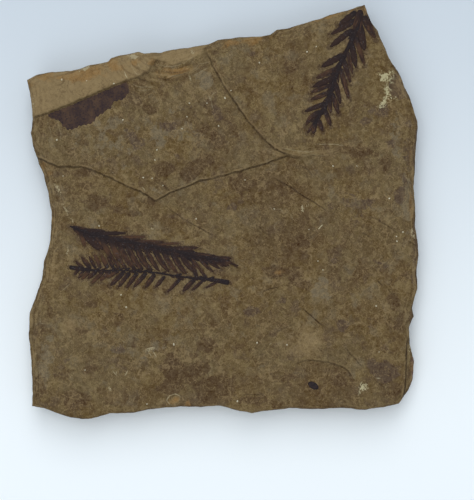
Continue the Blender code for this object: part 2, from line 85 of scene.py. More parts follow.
# %% The four sides, clockwise from the upper left corner
Side = namedtuple("Side", "points rims")
UPPER_LEFT, UPPER_RIGHT, LOWER_RIGHT, LOWER_LEFT = (0.0, 85.0), (84.5, 104.0), (93.1, 3.9), (1.0, 3.3)
SIDES = [
    Side([
        UPPER_LEFT, (2.5, 86.4), (5.8, 87.0), (10.8, 87.4), (13.3, 88.0), (15.8, 88.9), (20.0, 89.6),
        (21.0, 90.6), (23.3, 91.3), (28.0, 92.2), (29.3, 91.8), (33.3, 92.2), (36.0, 92.9), (40.8, 93.6),
        (44.8, 94.1), (48.0, 95.3), (53.3, 96.0), (58.3, 96.1), (60.8, 96.6), (62.3, 97.8), (65.5, 98.1),
        (67.5, 98.9), (70.8, 99.8), (75.8, 101.4), (80.8, 102.8), (82.5, 103.5), UPPER_RIGHT,
    ], [(0.0, 2.4, 1.0), (0.85, 2.4, 1.0), (0.93, 1.0, 0.5), (1.0, 1.0, 0.5)]),
    Side([
        UPPER_RIGHT, (85.0, 102.8), (86.0, 99.8), (87.8, 97.3), (89.5, 93.5), (91.0, 90.0), (93.5, 86.5),
        (94.5, 83.8), (96.3, 80.0), (97.8, 75.1), (98.0, 73.3), (97.5, 68.8), (97.3, 63.8), (97.0, 58.3),
        (97.3, 53.8), (97.3, 48.8), (98.0, 44.5), (98.2, 41.3), (97.7, 37.5), (97.9, 32.8), (97.1, 30.0),
        (96.5, 27.8), (96.9, 25.8), (95.7, 23.0), (96.0, 19.3), (97.1, 14.5), (96.8, 10.0), (95.8, 7.3),
        (94.3, 5.5), LOWER_RIGHT,
    ], [(0.0, 1.0, 0.5), (0.13, 1.0, 0.5), (0.19, 3.6, 1.5), (0.97, 3.6, 1.5), (1.0, 1.2, 0.7)]),
    Side([
        LOWER_RIGHT, (89.5, 3.1), (84.5, 2.4), (78.3, 2.9), (72.0, 2.5), (65.8, 2.8), (58.8, 2.0),
        (56.0, 1.5), (52.3, 2.3), (48.3, 3.3), (43.3, 3.1), (38.5, 3.1), (36.0, 3.0), (30.8, 2.5),
        (27.0, 1.6), (20.8, 1.4), (17.8, 0.6), (15.3, 0.0), (10.8, 0.5), (7.3, 1.6), (4.3, 2.8),
        LOWER_LEFT,
    ], [(0.0, 1.2, 0.7), (0.96, 1.2, 0.7), (1.0, 4.2, 1.8)]),
    Side([
        LOWER_LEFT, (1.0, 7.5), (0.8, 14.5), (0.1, 21.3), (0.4, 26.8), (1.8, 30.5), (3.3, 35.0),
        (3.9, 39.8), (5.3, 43.8), (5.8, 48.0), (5.8, 52.0), (4.8, 57.5), (3.8, 61.5), (2.6, 64.3),
        (1.4, 68.0), (0.7, 71.8), (1.2, 75.5), (0.8, 80.0), (0.1, 83.5), UPPER_LEFT,
    ], [(0.0, 4.2, 1.8), (0.97, 4.2, 1.8), (1.0, 2.4, 1.0)]),
]
OUTLINE = [place for side in SIDES for place in side.points[:-1]]
print("outline points:", len(OUTLINE))

# %% [markdown]
# ## Small tools for surfaces
#
# Everything below is an array of x and an array of y going in, and an array of heights or strengths
# coming out. Five tools do most of the work: an easy slope, a soft random field, places along a line,
# the distance from a line, and a soft oval patch.

# %% An easy slope and a soft random field
NET = 64


def smooth(share):
    """An easy slope: 0 below 0, 1 above 1, and 3s^2 - 2s^3 between."""
    share = np.clip(share, 0.0, 1.0)
    return share * share * (3.0 - 2.0 * share)


def grain(x, y, size, seed):
    """Soft random values from -1 to 1: a random number at each crossing of a square net, size mm wide,
    joined by easy slopes both ways. The net is turned by an angle that depends on the seed."""
    random = np.random.default_rng(seed)
    net = random.uniform(-1.0, 1.0, (NET, NET))
    turn = random.uniform(0.0, math.pi)
    across = (x * math.cos(turn) + y * math.sin(turn)) / size + NET
    up = (y * math.cos(turn) - x * math.sin(turn)) / size + NET
    column, row = np.floor(across).astype(int), np.floor(up).astype(int)
    right, above = smooth(across - column), smooth(up - row)
    low, high = (
        net[line % NET, column % NET] * (1 - right) + net[line % NET, (column + 1) % NET] * right
        for line in (row, row + 1)
    )
    return low * (1 - above) + high * above


def mottle(x, y, size, seed, layers=3):
    """Layers of grain, each half the size and half the strength of the one before, from -1 to 1."""
    total = sum(grain(x, y, size / 2 ** layer, seed + layer) / 2 ** layer for layer in range(layers))
    return total / (2 - 2.0 ** (1 - layers))


# %% Along a line, beside a line, and a patch
def marks_along(points):
    """How far along a line of straight runs each of its points is."""
    return np.concatenate(([0.0], np.cumsum(np.hypot(*np.diff(points, axis=0).T))))


def places_along(points, distances):
    """The places at the given distances along a line of straight runs."""
    points = np.array(points, float)
    marks = marks_along(points)
    return np.column_stack([np.interp(distances, marks, points[:, axis]) for axis in (0, 1)])


def beside_line(x, y, line):
    """Distance from a line of straight runs, plus on its left; how far along it that is; its length."""
    nearest = np.full(np.shape(x), np.inf)
    side = np.ones(np.shape(x))
    along = np.zeros(np.shape(x))
    passed = 0.0
    for (x0, y0), (x1, y1) in zip(line[:-1], line[1:]):
        run_x, run_y = x1 - x0, y1 - y0
        length = math.hypot(run_x, run_y)
        share = np.clip(((x - x0) * run_x + (y - y0) * run_y) / length ** 2, 0.0, 1.0)
        off_x, off_y = x - x0 - share * run_x, y - y0 - share * run_y
        distance = np.hypot(off_x, off_y)
        closer = distance < nearest
        nearest = np.where(closer, distance, nearest)
        side = np.where(closer, np.where(run_x * off_y >= run_y * off_x, 1.0, -1.0), side)
        along = np.where(closer, passed + share * length, along)
        passed += length
    return side * nearest, along, passed


def patch(x, y, spot):
    """A soft oval: its full strength in the middle, falling off like exp(-r^2)."""
    x0, y0, half_x, half_y, turn, strength = spot
    cos, sin = math.cos(math.radians(turn)), math.sin(math.radians(turn))
    across = ((x - x0) * cos + (y - y0) * sin) / half_x
    up = ((y - y0) * cos - (x - x0) * sin) / half_y
    return strength * np.exp(-across ** 2 - up ** 2)


# %% [markdown]
# ## The form of the face
#
# The slab split along more than one sheet of rock, so the face is a set of low terraces, 0.4 to 0.8 mm
# high. A terrace could be cut with a Boolean, but a broken edge thins out and fades away, which a cutter
# can't do. Here each ledge is a line with a high side, and the height is a function of the distance from
# that line. The same function, with broader strokes, shaped the solid underneath.

# %% The ledges, breaks and hollows
Ledge = namedtuple("Ledge", "line rise reach fade_start fade_end shade")
LEDGES = {
    "top band": Ledge([
        (-3.0, 74.8), (1.3, 75.5), (5.5, 76.8), (10.8, 79.0), (18.3, 82.2), (24.8, 84.8), (28.0, 85.9),
        (30.3, 87.0), (31.0, 89.0), (32.2, 90.0), (34.8, 89.6), (36.3, 88.9), (38.3, 89.4), (40.8, 90.3),
        (43.3, 91.8), (45.0, 93.8), (46.5, 98.0),
    ], 0.8, 60.0, 0.0, 34.0, 0.6),
    "kite": Ledge([
        (-3.0, 67.5), (4.5, 65.0), (7.5, 63.4), (13.3, 63.4), (18.3, 61.8), (23.3, 59.4), (28.3, 57.3),
        (32.0, 54.8), (35.8, 56.8), (43.3, 59.8), (50.8, 61.6), (57.8, 63.6), (63.3, 65.4), (65.3, 66.0),
        (68.3, 65.4), (70.3, 63.4),
    ], 0.5, 45.0, 0.0, 5.0, 0.85),
    "right sheet": Ledge([
        (44.3, 94.2), (45.3, 91.2), (46.5, 88.5), (49.5, 83.3), (52.8, 78.3), (55.0, 75.0), (59.5, 70.0),
        (62.0, 67.8), (65.0, 66.4), (68.6, 65.8), (71.0, 63.6),
    ], 0.45, 45.0, 4.0, 5.0, 0.8),
    "lower arc": Ledge([
        (64.0, 9.0), (65.4, 11.6), (67.2, 13.8), (69.5, 15.0), (73.3, 14.9), (77.0, 14.1), (80.2, 12.6),
        (82.0, 9.6), (82.7, 5.5),
    ], 0.4, 12.0, 11.0, 8.0, 0.6),
}
Break = namedtuple("Break", "line drop width fade_start fade_end shade")
BREAKS = {
    "shelly top break": Break([
        (47.5, 89.5), (45.8, 88.8), (40.8, 87.0), (38.3, 86.3), (35.8, 85.3), (31.5, 84.9),
    ], 1.5, 6.0, 4.0, 3.0, 0.0),
    "lower right sheet": Break([
        (93.2, 1.0), (93.8, 4.0), (94.3, 6.3), (94.8, 13.8), (94.9, 18.8), (95.6, 22.5),
    ], 0.9, 0.5, 0.0, 4.0, 1.0),
}
HOLLOWS = [(92.0, 83.6, 1.9, 2.7, 0.7)]
FACE_LEVEL = 8.6
WAVE_HEIGHT = 0.18
RISER = 0.42
WANDER = 0.16


def ends(along, length, fade_start, fade_end):
    """1 along a line, sloping to 0 at an end that has a fading length."""
    share = np.ones(np.shape(along))
    if fade_start:
        share = share * smooth(along / fade_start)
    if fade_end:
        share = share * smooth((length - along) / fade_end)
    return share


# %% The rim, the broad waves and the shell-like ripples
def rim_share(x, y):
    """How deep into the worn rim a place is, 1 at the outline and 0 inside, and the rim's fall there."""
    line = OUTLINE + OUTLINE[:1]
    distance, along, _ = beside_line(x, y, line)
    marks, widths, drops = [], [], []
    passed = 0.0
    for side in SIDES:
        length = marks_along(side.points)[-1]
        for share, width, drop in side.rims:
            marks.append(passed + share * length)
            widths.append(width)
            drops.append(drop)
        passed += length
    width = np.interp(along, marks, widths)
    return np.clip(1.0 - np.abs(distance) / width, 0.0, 1.0), np.interp(along, marks, drops)


def waves(x, y):
    """The bedding plane's broad unevenness: two slow products of sines."""
    broad = np.sin(x / 11.0 + 0.6) * np.cos(y / 14.0 - 0.4)
    short = np.sin((x + y) / 7.5) * np.cos((x - y) / 9.0)
    return WAVE_HEIGHT * (broad + 0.6 * short)


Shell = namedtuple("Shell", "blow spots")
SHELLS = [
    Shell((37.0, 97.5), [
        (38.0, 87.6, 7.5, 3.0, 12, 1.0), (31.0, 84.3, 4.0, 1.6, 15, 0.8),
        (46.0, 88.0, 3.0, 2.0, 30, 0.7),
    ]),
    Shell((31.5, 91.2), [(27.5, 88.6, 3.4, 3.2, 0, 1.0), (23.5, 87.0, 1.6, 2.6, 0, 0.6)]),
    Shell((72.0, 103.0), [(70.0, 67.0, 11.0, 1.6, 0, 0.8)]),
    Shell((20.0, 72.0), [(4.0, 71.0, 2.0, 5.0, 0, 0.6)]),
]


def shell_field(x, y):
    """Where stone breaks like glass, rings spread from the blow: the distance from it, and how strong
    the rings are."""
    radius, share = np.zeros(np.shape(x)), np.zeros(np.shape(x))
    for shell in SHELLS:
        here = sum(patch(x, y, spot) for spot in shell.spots)
        x0, y0 = shell.blow
        far = np.hypot(x - x0, y - y0) + 0.45 * grain(x, y, 3.5, 71)
        radius = np.where(here > share, far, radius)
        share = np.maximum(share, np.minimum(here, 1.0))
    return radius, share


def shell_ripples(x, y):
    """The rings as relief: a sine of the distance from the blow."""
    radius, share = shell_field(x, y)
    return 0.06 * share * np.sin(radius * 4.2 + 2.0 * grain(x, y, 2.0, 72))


# %% The height of the face
def ledge_fields(x, y):
    """Each ledge's signed distance and how strong it is there, on places nudged so that it wanders."""
    x = x + WANDER * grain(x, y, 1.3, 11) + 0.5 * WANDER * grain(x, y, 0.5, 13)
    y = y + WANDER * grain(x, y, 1.3, 12) + 0.5 * WANDER * grain(x, y, 0.5, 14)
    fields = {}
    for name, edge in (LEDGES | BREAKS).items():
        distance, along, length = beside_line(x, y, edge.line)
        fields[name] = distance, ends(along, length, edge.fade_start, edge.fade_end)
    return fields


def face_height(x, y):
    """Height above the underside: the level, the waves, the rim, each ledge, and fine unevenness."""
    rim, drop = rim_share(x, y)
    height = FACE_LEVEL + waves(x, y) - drop * rim ** 2 + shell_ripples(x, y)
    fields = ledge_fields(x, y)
    for name, ledge in LEDGES.items():
        distance, strength = fields[name]
        lifted = smooth(distance / RISER + 0.5) * (1.0 - smooth(distance / ledge.reach))
        height = height + ledge.rise * lifted * strength
    for name, edge in BREAKS.items():
        distance, strength = fields[name]
        height = height - edge.drop * smooth(-distance / edge.width) * strength
    for x0, y0, half_x, half_y, depth in HOLLOWS:
        height = height - depth * smooth(1.0 - np.hypot((x - x0) / half_x, (y - y0) / half_y))
    height = height + 0.045 * mottle(x, y, 6.0, 21) + 0.022 * mottle(x, y, 1.4, 31)
    return np.minimum(height, TOP_LIMIT)


probe = np.array([20.0, 50.0, 80.0])
print("face height at three places, mm:", np.round(face_height(probe, probe), 2))

# %% [markdown]
# ## Making meshes from arrays
#
# Each piece is worked out as rows of places and rows of corner numbers. One helper turns them into an
# object with its origin at the scene's origin, smooth shading and, if wanted, values stored on the
# vertices for the finish to read. It also measures the closed volume, which is negative when a mesh is
# inside out, and prints it.

# %% Arrays to objects
def signed_volume(places, triangles):
    """A sixth of the sum of each triangle's triple product: the volume inside a closed mesh."""
    a, b, c = (places[triangles[:, corner]] for corner in range(3))
    return float(np.einsum("ij,ij->i", a, np.cross(b, c)).sum() / 6)


def add_piece(name, places, quads, triangles, node, values=None):
    """Build one closed piece that rides on the slab's body and replaces a node."""
    quads = np.asarray(quads, dtype=int).reshape(-1, 4)
    triangles = np.asarray(triangles, dtype=int).reshape(-1, 3)
    mesh = bpy.data.meshes.new(name)
    mesh.from_pydata(places.tolist(), [], quads.tolist() + triangles.tolist())
    mesh.shade_smooth()
    for key, numbers in (values or {}).items():
        mesh.attributes.new(key, "FLOAT", "POINT").data.foreach_set("value", numbers.astype(np.float32))
    piece = bpy.data.objects.new(name, mesh)
    bpy.context.collection.objects.link(piece)
    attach(piece, "root")
    if node:
        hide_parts(node)
    split = np.vstack((quads[:, :3], quads[:, [0, 2, 3]], triangles))
    volume = signed_volume(places, split) * 1e9
    print(f"{name}: {len(split)} triangles, {volume:.1f} cubic mm")
    return piece


# %% [markdown]
# ## The slab's grid
#
# The four sides frame a grid: a place inside is a blend of the left and right sides plus a blend of the
# top and bottom sides, less a blend of the four corners. That is a Coons patch. It has no pole, its
# cells are all about 0.4 mm, and its border is the outline itself. The broken edge hangs from the border
# in rows. The back, where less happens, is a grid whose cells are four times as wide, joined by a strip
# in which four fine edges meet each coarse one.

# %% The border ring and the grid inside it
CELLS = 256
COARSE = 4


def border(count):
    """4 x count places round the outline, clockwise from the upper left, nicked a little inwards."""
    ring = []
    for side in SIDES:
        length = marks_along(side.points)[-1]
        ring.append(places_along(side.points, np.arange(count) / count * length))
    ring = np.vstack(ring)
    x, y = ring.T
    nick = 0.10 * (1 + grain(x, y, 1.6, 41)) + 0.05 * (1 + grain(x, y, 0.6, 42))
    return ring + inward(ring) * nick[:, None]


def inward(ring, spread=4):
    """Unit vectors to the right of a clockwise ring, from the run between neighbours spread apart."""
    run = np.roll(ring, -spread, axis=0) - np.roll(ring, spread, axis=0)
    right = np.column_stack((run[:, 1], -run[:, 0]))
    return right / np.linalg.norm(right, axis=1)[:, None]


def coons(ring):
    """The grid inside a ring of 4n places: left-right blend + top-bottom blend - corner blend."""
    count = len(ring) // 4
    closed = np.vstack((ring, ring[:1]))
    top, right = closed[:count + 1], closed[count:2 * count + 1]
    bottom, left = closed[2 * count:3 * count + 1][::-1], closed[3 * count:][::-1]
    u = np.linspace(0, 1, count + 1)[None, :, None]
    v = np.linspace(0, 1, count + 1)[:, None, None]
    across = (1 - u) * left[:, None] + u * right[:, None]
    down = (1 - v) * top[None] + v * bottom[None]
    corners = (1 - v) * ((1 - u) * top[0] + u * top[-1]) + v * ((1 - u) * bottom[0] + u * bottom[-1])
    return across + down - corners


def grid_numbers(count, first):
    """Vertex numbers of a grid of count by count cells, row by row."""
    return first + np.arange((count + 1) ** 2).reshape(count + 1, count + 1)


def ring_numbers(count, first=0):
    """Vertex numbers of a grid's border, clockwise from its upper left corner."""
    grid = grid_numbers(count, first)
    return np.concatenate((grid[0, :-1], grid[:-1, -1], grid[-1, :0:-1], grid[:0:-1, 0]))


def grid_quads(count, first=0, flip=False):
    """The cells of a grid, anticlockwise from above, or clockwise where they face down."""
    grid = grid_numbers(count, first)
    corners = (grid[:-1, :-1], grid[1:, :-1], grid[1:, 1:], grid[:-1, 1:])
    quads = np.stack(corners, axis=-1).reshape(-1, 4)
    return quads[:, ::-1] if flip else quads


ring = border(CELLS)
face = coons(ring)
middle = CELLS // 2
cell_width = math.dist(face[middle, middle + 1], face[middle, middle])
print("cells:", CELLS ** 2, "cell width, mm:", round(cell_width, 2))

# %% The broken edge and the back
EDGE_ROWS = [
    (0.95, 0.04), (0.89, 0.12), (0.85, 0.25), (0.81, 0.62), (0.74, 0.66), (0.66, 0.55), (0.58, 0.45),
    (0.51, 0.50), (0.47, 1.05), (0.38, 1.12), (0.28, 1.02), (0.19, 0.95), (0.10, 1.25), (0.035, 1.70),
]
BACK_INSET = 2.6
BACK_RELIEF = 0.30
FLAT_MARGIN = 6.0


def edge_rows(ring, heights):
    """Rows down the broken edge: sheets of rock end at slightly different places, so each row's inset
    comes and goes along the edge, and the stone between them is rough."""
    x, y = ring.T
    rows = []
    for level, (share, inset) in enumerate(EDGE_ROWS):
        drift = 0.40 * grain(x, y, 14.0, 50) + 0.35 * grain(x, y, 5.0, 51 + level // 3)
        rough = 0.10 * grain(x, y, 1.2, 60 + level) + 0.05 * grain(x, y, 0.5, 80 + level)
        rough = rough + 0.16 * grain(x, y, 2.4, 110 + level // 2)
        shift = np.maximum(inset * (1 + drift) + rough * min(1.0, inset * 4), 0.02)
        place = ring + inward(ring, 10) * shift[:, None]
        rows.append(np.column_stack((place, heights * share + 0.12 * grain(x, y, 3.0, 90 + level // 2))))
    return rows


heights = face_height(face[..., 0].ravel(), face[..., 1].ravel())
face_places = np.column_stack((face.reshape(-1, 2), heights))
border_numbers = ring_numbers(CELLS)
rows = edge_rows(ring, heights[border_numbers])
back_ring = (ring + inward(ring, 20) * BACK_INSET)[::COARSE]
back = coons(back_ring).reshape(-1, 2)
back_lift = BACK_RELIEF * smooth(0.5 + 1.2 * mottle(back[:, 0], back[:, 1], 16.0, 101))
back_edge = np.abs(beside_line(back[:, 0], back[:, 1], OUTLINE + OUTLINE[:1])[0])
back_lift = back_lift * smooth((back_edge - BACK_INSET) / FLAT_MARGIN)
back_places = np.column_stack((back, back_lift))

# %% Join face, edge and back into one closed mesh
front_count = len(face_places)
row_numbers = [border_numbers]
for level in range(len(rows)):
    row_numbers.append(front_count + level * len(ring) + np.arange(len(ring)))
back_first = front_count + len(rows) * len(ring)
quads = [grid_quads(CELLS)]
for upper, lower in zip(row_numbers[:-1], row_numbers[1:]):
    quads.append(np.column_stack((upper, np.roll(upper, -1), np.roll(lower, -1), lower)))
quads.append(grid_quads(CELLS // COARSE, back_first, flip=True))
coarse = ring_numbers(CELLS // COARSE, back_first)
after = np.roll(coarse, -1)
fine = [np.roll(row_numbers[-1], -step)[::COARSE] for step in range(COARSE + 1)]
strip = [
    (fine[0], fine[1], coarse), (fine[1], fine[2], coarse), (fine[2], after, coarse),
    (fine[2], fine[3], after), (fine[3], fine[4], after),
]
strip = np.vstack([np.column_stack(corners) for corners in strip])
slab_mm = np.vstack([face_places] + rows + [back_places])
slab_mm[:, :2] = np.clip(slab_mm[:, :2], (0.0, 0.0), np.array(SLAB_HIGH - SLAB_LOW)[:2] / MM)
print("slab vertices:", len(slab_mm))

# %% [markdown]
# ## What lies where on the face
#
# The stone is not one colour. The mud was laid down in sheets of slightly different tints, and water has
# stained it since. Stains could be painted on an image, but the finish is to stay procedural, so each is
# a soft oval in millimetres, worked out on the mesh's own vertices. Nodes then break up its edge with
# noise. Each tint is a list of ovals: place, half width, half height, turn in degrees and strength. The
# veil is a broad faint darkening, umber and plum are patches of another bedding sheet, sage is where the
# stone is greyer, and tan, rust, dust and cream are weathering and crusts.

# %% Tints
TINTS = {
    "veil": [
        (62, 58, 10, 7, 0, 1), (20.5, 18, 7, 5, 0, 0.5), (30, 7, 8, 3, 0, 0.7),
        (48.5, 71.5, 7, 8, 0, 0.75), (92, 74, 4, 8, 0, 0.5), (64, 45, 12, 9, 0, 0.85),
        (57, 10, 9, 5, 0, 0.6), (39, 12, 6, 4.5, 0, 0.8), (90, 12, 5, 6, 0, 0.6),
        (82, 45, 12, 9, -20, 0.5), (68, 88, 6, 6, 0, 0.5), (43, 63, 7, 4, 20, 0.5),
        (93, 27, 3, 8, 0, 0.5), (34, 22, 12, 3, 0, 0.3),
    ],
    "umber": [
        (34.5, 62.5, 2.6, 1.8, 0, 1.2), (42, 63, 4.5, 2, 30, 1.1), (45, 65.5, 2.2, 1.5, -20, 1.1),
        (47.8, 70, 2.5, 3, 0, 0.74), (44.5, 73, 2, 2, 0, 0.6), (14.5, 69.3, 2, 2, 0, 0.53),
        (30.8, 77.5, 2.2, 1.8, 0, 0.6), (13.3, 83.2, 0.7, 0.6, 0, 0.9), (13.3, 81.9, 0.6, 0.5, 0, 0.9),
        (17, 54.3, 4, 2.5, 0, 0.67), (14.5, 58.8, 4.5, 2, 0, 0.6), (22.8, 53, 3, 2, 0, 0.6),
        (27, 51.8, 1.4, 1, 0, 0.9), (12.8, 62, 4.5, 1.2, 0, 0.74), (30.8, 54.6, 1.7, 0.9, -30, 1.2),
        (65.8, 88, 3.2, 3, 0, 0.6), (82, 67, 6.5, 1.3, -8, 0.74), (89.5, 64.3, 3, 2, 0, 0.6),
        (53.3, 58.8, 4, 3, 0, 0.6), (68.3, 43.8, 5, 3, 0, 0.53), (62, 37, 5, 2, 0, 0.6),
        (67, 37, 3, 3, 0, 0.67), (69.5, 33.8, 3, 2, 0, 0.53), (44.5, 18.8, 3, 2.2, 0, 0.83),
        (15.8, 28.8, 2, 1.5, 0, 0.74), (23.3, 26.5, 2.6, 0.6, -10, 0.74), (14.5, 22.5, 3, 2, 0, 0.53),
        (27, 18.8, 1.5, 2, 0, 0.6), (15.8, 12.5, 3.2, 1.4, 20, 0.74), (12, 6, 5.5, 3, 0, 0.67),
        (2.8, 8, 2, 4, 0, 0.8), (2.8, 23, 1.8, 2.8, 0, 0.67), (36.3, 13, 2.5, 3, 0, 1.5),
        (39.5, 11.3, 3, 2, -30, 1.5), (43.3, 13, 2, 1.6, 0, 1.5), (35.8, 8, 3.2, 1.5, 0, 1.5),
        (41.5, 15.8, 0.9, 0.8, 0, 1.1), (47, 7.5, 4.5, 3.2, 0, 1.5), (55.8, 5, 4.5, 1.7, 0, 0.67),
        (71.5, 9, 4, 3.2, 0, 0.5), (77.5, 9.5, 3, 3, 0, 0.6), (65, 10.3, 3.2, 1.5, 0, 0.6),
        (92, 7.5, 2.5, 3.5, 0, 0.67), (92, 30, 2.5, 2, 0, 0.74), (93.5, 24.5, 1.8, 4, 0, 0.67),
        (46.9, 88, 0.5, 2.6, 22, 1.1),
    ],
    "plum": [
        (97.6, 62, 0.9, 16, 0, 0.9), (97.3, 42, 0.9, 12, 0, 0.9), (96.6, 24, 0.8, 6, 0, 0.9),
        (89, 12.5, 4.8, 3, -20, 0.9), (95.5, 65, 2.5, 12, 0, 0.5), (88, 76, 5, 5, 0, 0.45),
        (96.3, 14, 0.9, 5, 0, 0.7), (96.4, 22, 0.6, 3, 0, 0.5), (27, 70, 4, 2.5, -20, 0.55),
        (35.3, 74, 2.5, 1.3, 0, 0.75), (37, 66.3, 3, 2, 0, 0.45), (39.5, 78, 2, 1, 0, 0.45),
        (47.5, 76.8, 1.6, 2.5, 15, 0.7), (51.3, 53, 1.5, 1, 0, 0.95), (84.5, 74.5, 2.3, 1.3, 0, 0.75),
        (90.8, 68.8, 2, 1.6, 0, 0.5), (80.8, 53.8, 9, 6, -20, 0.45), (93.3, 56.3, 2.5, 2.2, 0, 0.5),
        (89.5, 48.8, 3.2, 2, -20, 0.45), (62, 49.5, 2, 1.2, 0, 0.35), (55.8, 27, 2.5, 1.3, 10, 0.8),
        (64, 30, 1.6, 1.4, 0, 0.55), (78.8, 23.5, 1.9, 1.6, 0, 0.8), (86.3, 23.8, 1.5, 1.2, 0, 0.45),
        (76.8, 39.5, 1.2, 0.8, 0, 0.6), (80.8, 31.5, 1.6, 1, 0, 0.4), (10.3, 15.5, 1.3, 1.3, 0, 0.6),
        (22.8, 17.5, 3.5, 2.6, 0, 0.35), (92.6, 83.4, 1.8, 2.8, 10, 1.5), (8, 77, 2, 1, 0, 0.3),
        (24.8, 72.6, 0.45, 0.6, 0, 1), (88, 40, 8, 7, 0, 0.25), (56.5, 91.5, 0.9, 0.3, 40, 1),
        (38.5, 48, 3, 2, 0, 0.3), (40, 70, 6, 6, 0, 0.25),
    ],
    "sage": [
        (44.5, 85, 3.2, 2.6, -40, 0.75), (17.5, 73.5, 3, 3, 0, 0.4), (21.5, 73.5, 3, 3.5, 0, 0.5),
        (19.5, 67.5, 5, 2.5, 0, 0.4), (35.8, 77.5, 1.5, 1, 0, 0.5), (32, 57.5, 2.8, 1.2, -25, 0.55),
        (5.8, 20, 2.2, 1.5, 0, 0.55), (22.8, 22.5, 1.6, 1.4, 0, 0.45), (73.3, 32.5, 2.6, 2, 0, 0.7),
        (74.2, 33, 1.6, 4.5, 10, 0.7), (50.8, 22.5, 4, 3, 0, 0.35), (39.5, 21.3, 3.5, 2, 0, 0.35),
        (25, 63.5, 3, 1.6, -20, 0.5), (50, 70, 4, 3, 0, 0.3), (30, 66, 5, 3, -20, 0.35),
        (20, 70, 12, 7, 0, 0.42), (34, 71, 11, 7, 0, 0.42), (95.3, 57, 2.6, 19, 0, 0.55),
        (92, 70, 3.5, 10, 0, 0.42), (25, 16, 16, 8, 0, 0.36), (95, 83, 3, 6, 0, 0.4),
        (3, 45, 3, 14, 0, 0.5), (4.5, 14, 3.5, 8, 0, 0.5),
    ],
    "rose": [(97.4, 13.5, 1.3, 6.5, 0, 1.3)],
    "tan": [
        (69.8, 19.3, 4, 4.6, 0, 0.75), (65.4, 18, 4.2, 3, 20, 0.5), (10.8, 23.8, 3.8, 3.2, 0, 0.5),
        (33.3, 30, 5, 2.2, 0, 0.3), (22, 6.3, 2.2, 1.6, 0, 0.45), (6.5, 37, 1.7, 6, 0, 0.45),
        (13.3, 42.5, 2.6, 1.4, 0, 0.4), (60.8, 77.5, 8, 7, 0, 0.25), (7, 47, 1.5, 3, 0, 0.35),
        (75, 66.5, 5, 0.7, -3, 0.35), (33, 51, 1.2, 0.5, -50, 0.4),
    ],
    "rust": [
        (14, 86.3, 7, 1.5, 8, 1), (5, 86, 4, 0.9, 8, 0.7), (22, 88, 3, 1.2, 15, 0.5),
        (38.3, 87.5, 4.5, 1.2, 15, 0.5), (30.5, 89, 1.6, 1, 40, 0.5), (84.3, 102.6, 1.2, 1, 0, 0.9),
        (75.8, 101, 7, 0.6, 16, 0.55), (96, 52.5, 0.9, 6, 0, 0.45), (96, 65, 0.9, 3.5, 0, 0.45),
        (5.5, 51, 0.9, 5, 0, 0.35), (55, 95.2, 8, 0.7, 5, 0.5), (96, 14, 1, 4.5, 0, 0.25),
        (2, 84, 2, 2, 0, 0.3), (40.2, 4.2, 0.8, 0.9, -40, 0.9), (4.5, 63, 1.5, 2.5, 30, 0.4),
        (61, 36.8, 4, 0.6, 0, 0.3), (36.9, 4.9, 1.7, 1.3, 0, 0.7), (33.5, 85.8, 3, 1.3, 5, 0.45),
        (52, 94.6, 7, 1.2, 5, 0.55), (21, 88.6, 1.6, 1.6, 0, 0.7), (17, 86.6, 5, 1, 6, 0.8),
        (27, 89, 2, 1, 0, 0.4),
    ],
    "dust": [
        (26.5, 90.8, 1.3, 0.9, 0, 1), (14.5, 88.1, 1.8, 0.6, 17, 1), (18, 89, 1.7, 0.6, 12, 1),
        (41.2, 92.6, 0.6, 0.7, 0, 0.7), (96.5, 46.5, 0.6, 1.8, 0, 0.6), (68.8, 53, 0.45, 0.95, 0, 1),
        (70.2, 53.6, 0.6, 0.25, 0, 0.6), (7.8, 58.2, 0.5, 2.4, 28, 0.6), (10.5, 52, 0.4, 2.4, 28, 0.65),
        (9.9, 42.7, 0.4, 1, 0, 0.6), (83.8, 8.3, 1.2, 0.8, -30, 0.9), (82.8, 7, 0.4, 1.2, 0, 0.7),
        (21.7, 61.9, 0.8, 0.3, -35, 0.6), (20.9, 8.1, 0.7, 0.3, -45, 0.6), (46, 80.6, 0.5, 0.5, 0, 0.5),
        (31, 17.6, 1.6, 0.5, 8, 0.6), (40.9, 85.2, 0.3, 0.7, 0, 0.9), (22.6, 12, 0.3, 0.6, 0, 0.5),
        (96.2, 18, 0.8, 1.2, 0, 0.7), (82.5, 103, 0.9, 0.3, 10, 0.6), (31.5, 48, 0.8, 0.5, 0, 0.5),
        (1.6, 78, 0.5, 4, 0, 0.4), (3.2, 24, 0.4, 3, 0, 0.35),
    ],
    "cream": [
        (89.8, 85.7, 1.8, 1.2, -10, 0.95), (90.2, 82.6, 0.8, 1.9, 8, 1),
        (89.2, 79.4, 0.9, 1.6, -18, 0.85), (91.3, 80.2, 1.2, 0.9, 0, 0.35), (88.2, 78, 1, 0.5, 20, 0.6),
        (91.2, 86.9, 0.5, 0.5, 0, 0.7), (84, 8.7, 1.1, 0.7, -30, 0.85), (83.1, 7.4, 0.4, 0.9, 0, 0.5),
    ],
}
TINT_WANDER = 0.9


def tint(x, y, spots):
    """The strongest of the ovals at each place, seen through a rippled glass so that no edge is even."""
    x = x + TINT_WANDER * mottle(x, y, 3.0, 201)
    y = y + TINT_WANDER * mottle(x, y, 3.0, 211)
    total = np.zeros(np.shape(x))
    for spot in spots:
        total = np.maximum(total, patch(x, y, spot))
    return total


print("ovals:", {name: len(spots) for name, spots in TINTS.items()})

# %% [markdown]
# ## Cracks and pale threads
#
# Hairline cracks and threads are thinner than a cell of the mesh. Storing "this vertex is dark" would
# blur them. A signed distance survives: it changes evenly across a line, so what lies between two
# vertices is exact, and a node can draw the line as thin as it likes. A second value says how strong the
# line is, and hides the far field, where the nearest line changes over. Neighbours go in different
# sets. Each line is its strength and then its points.

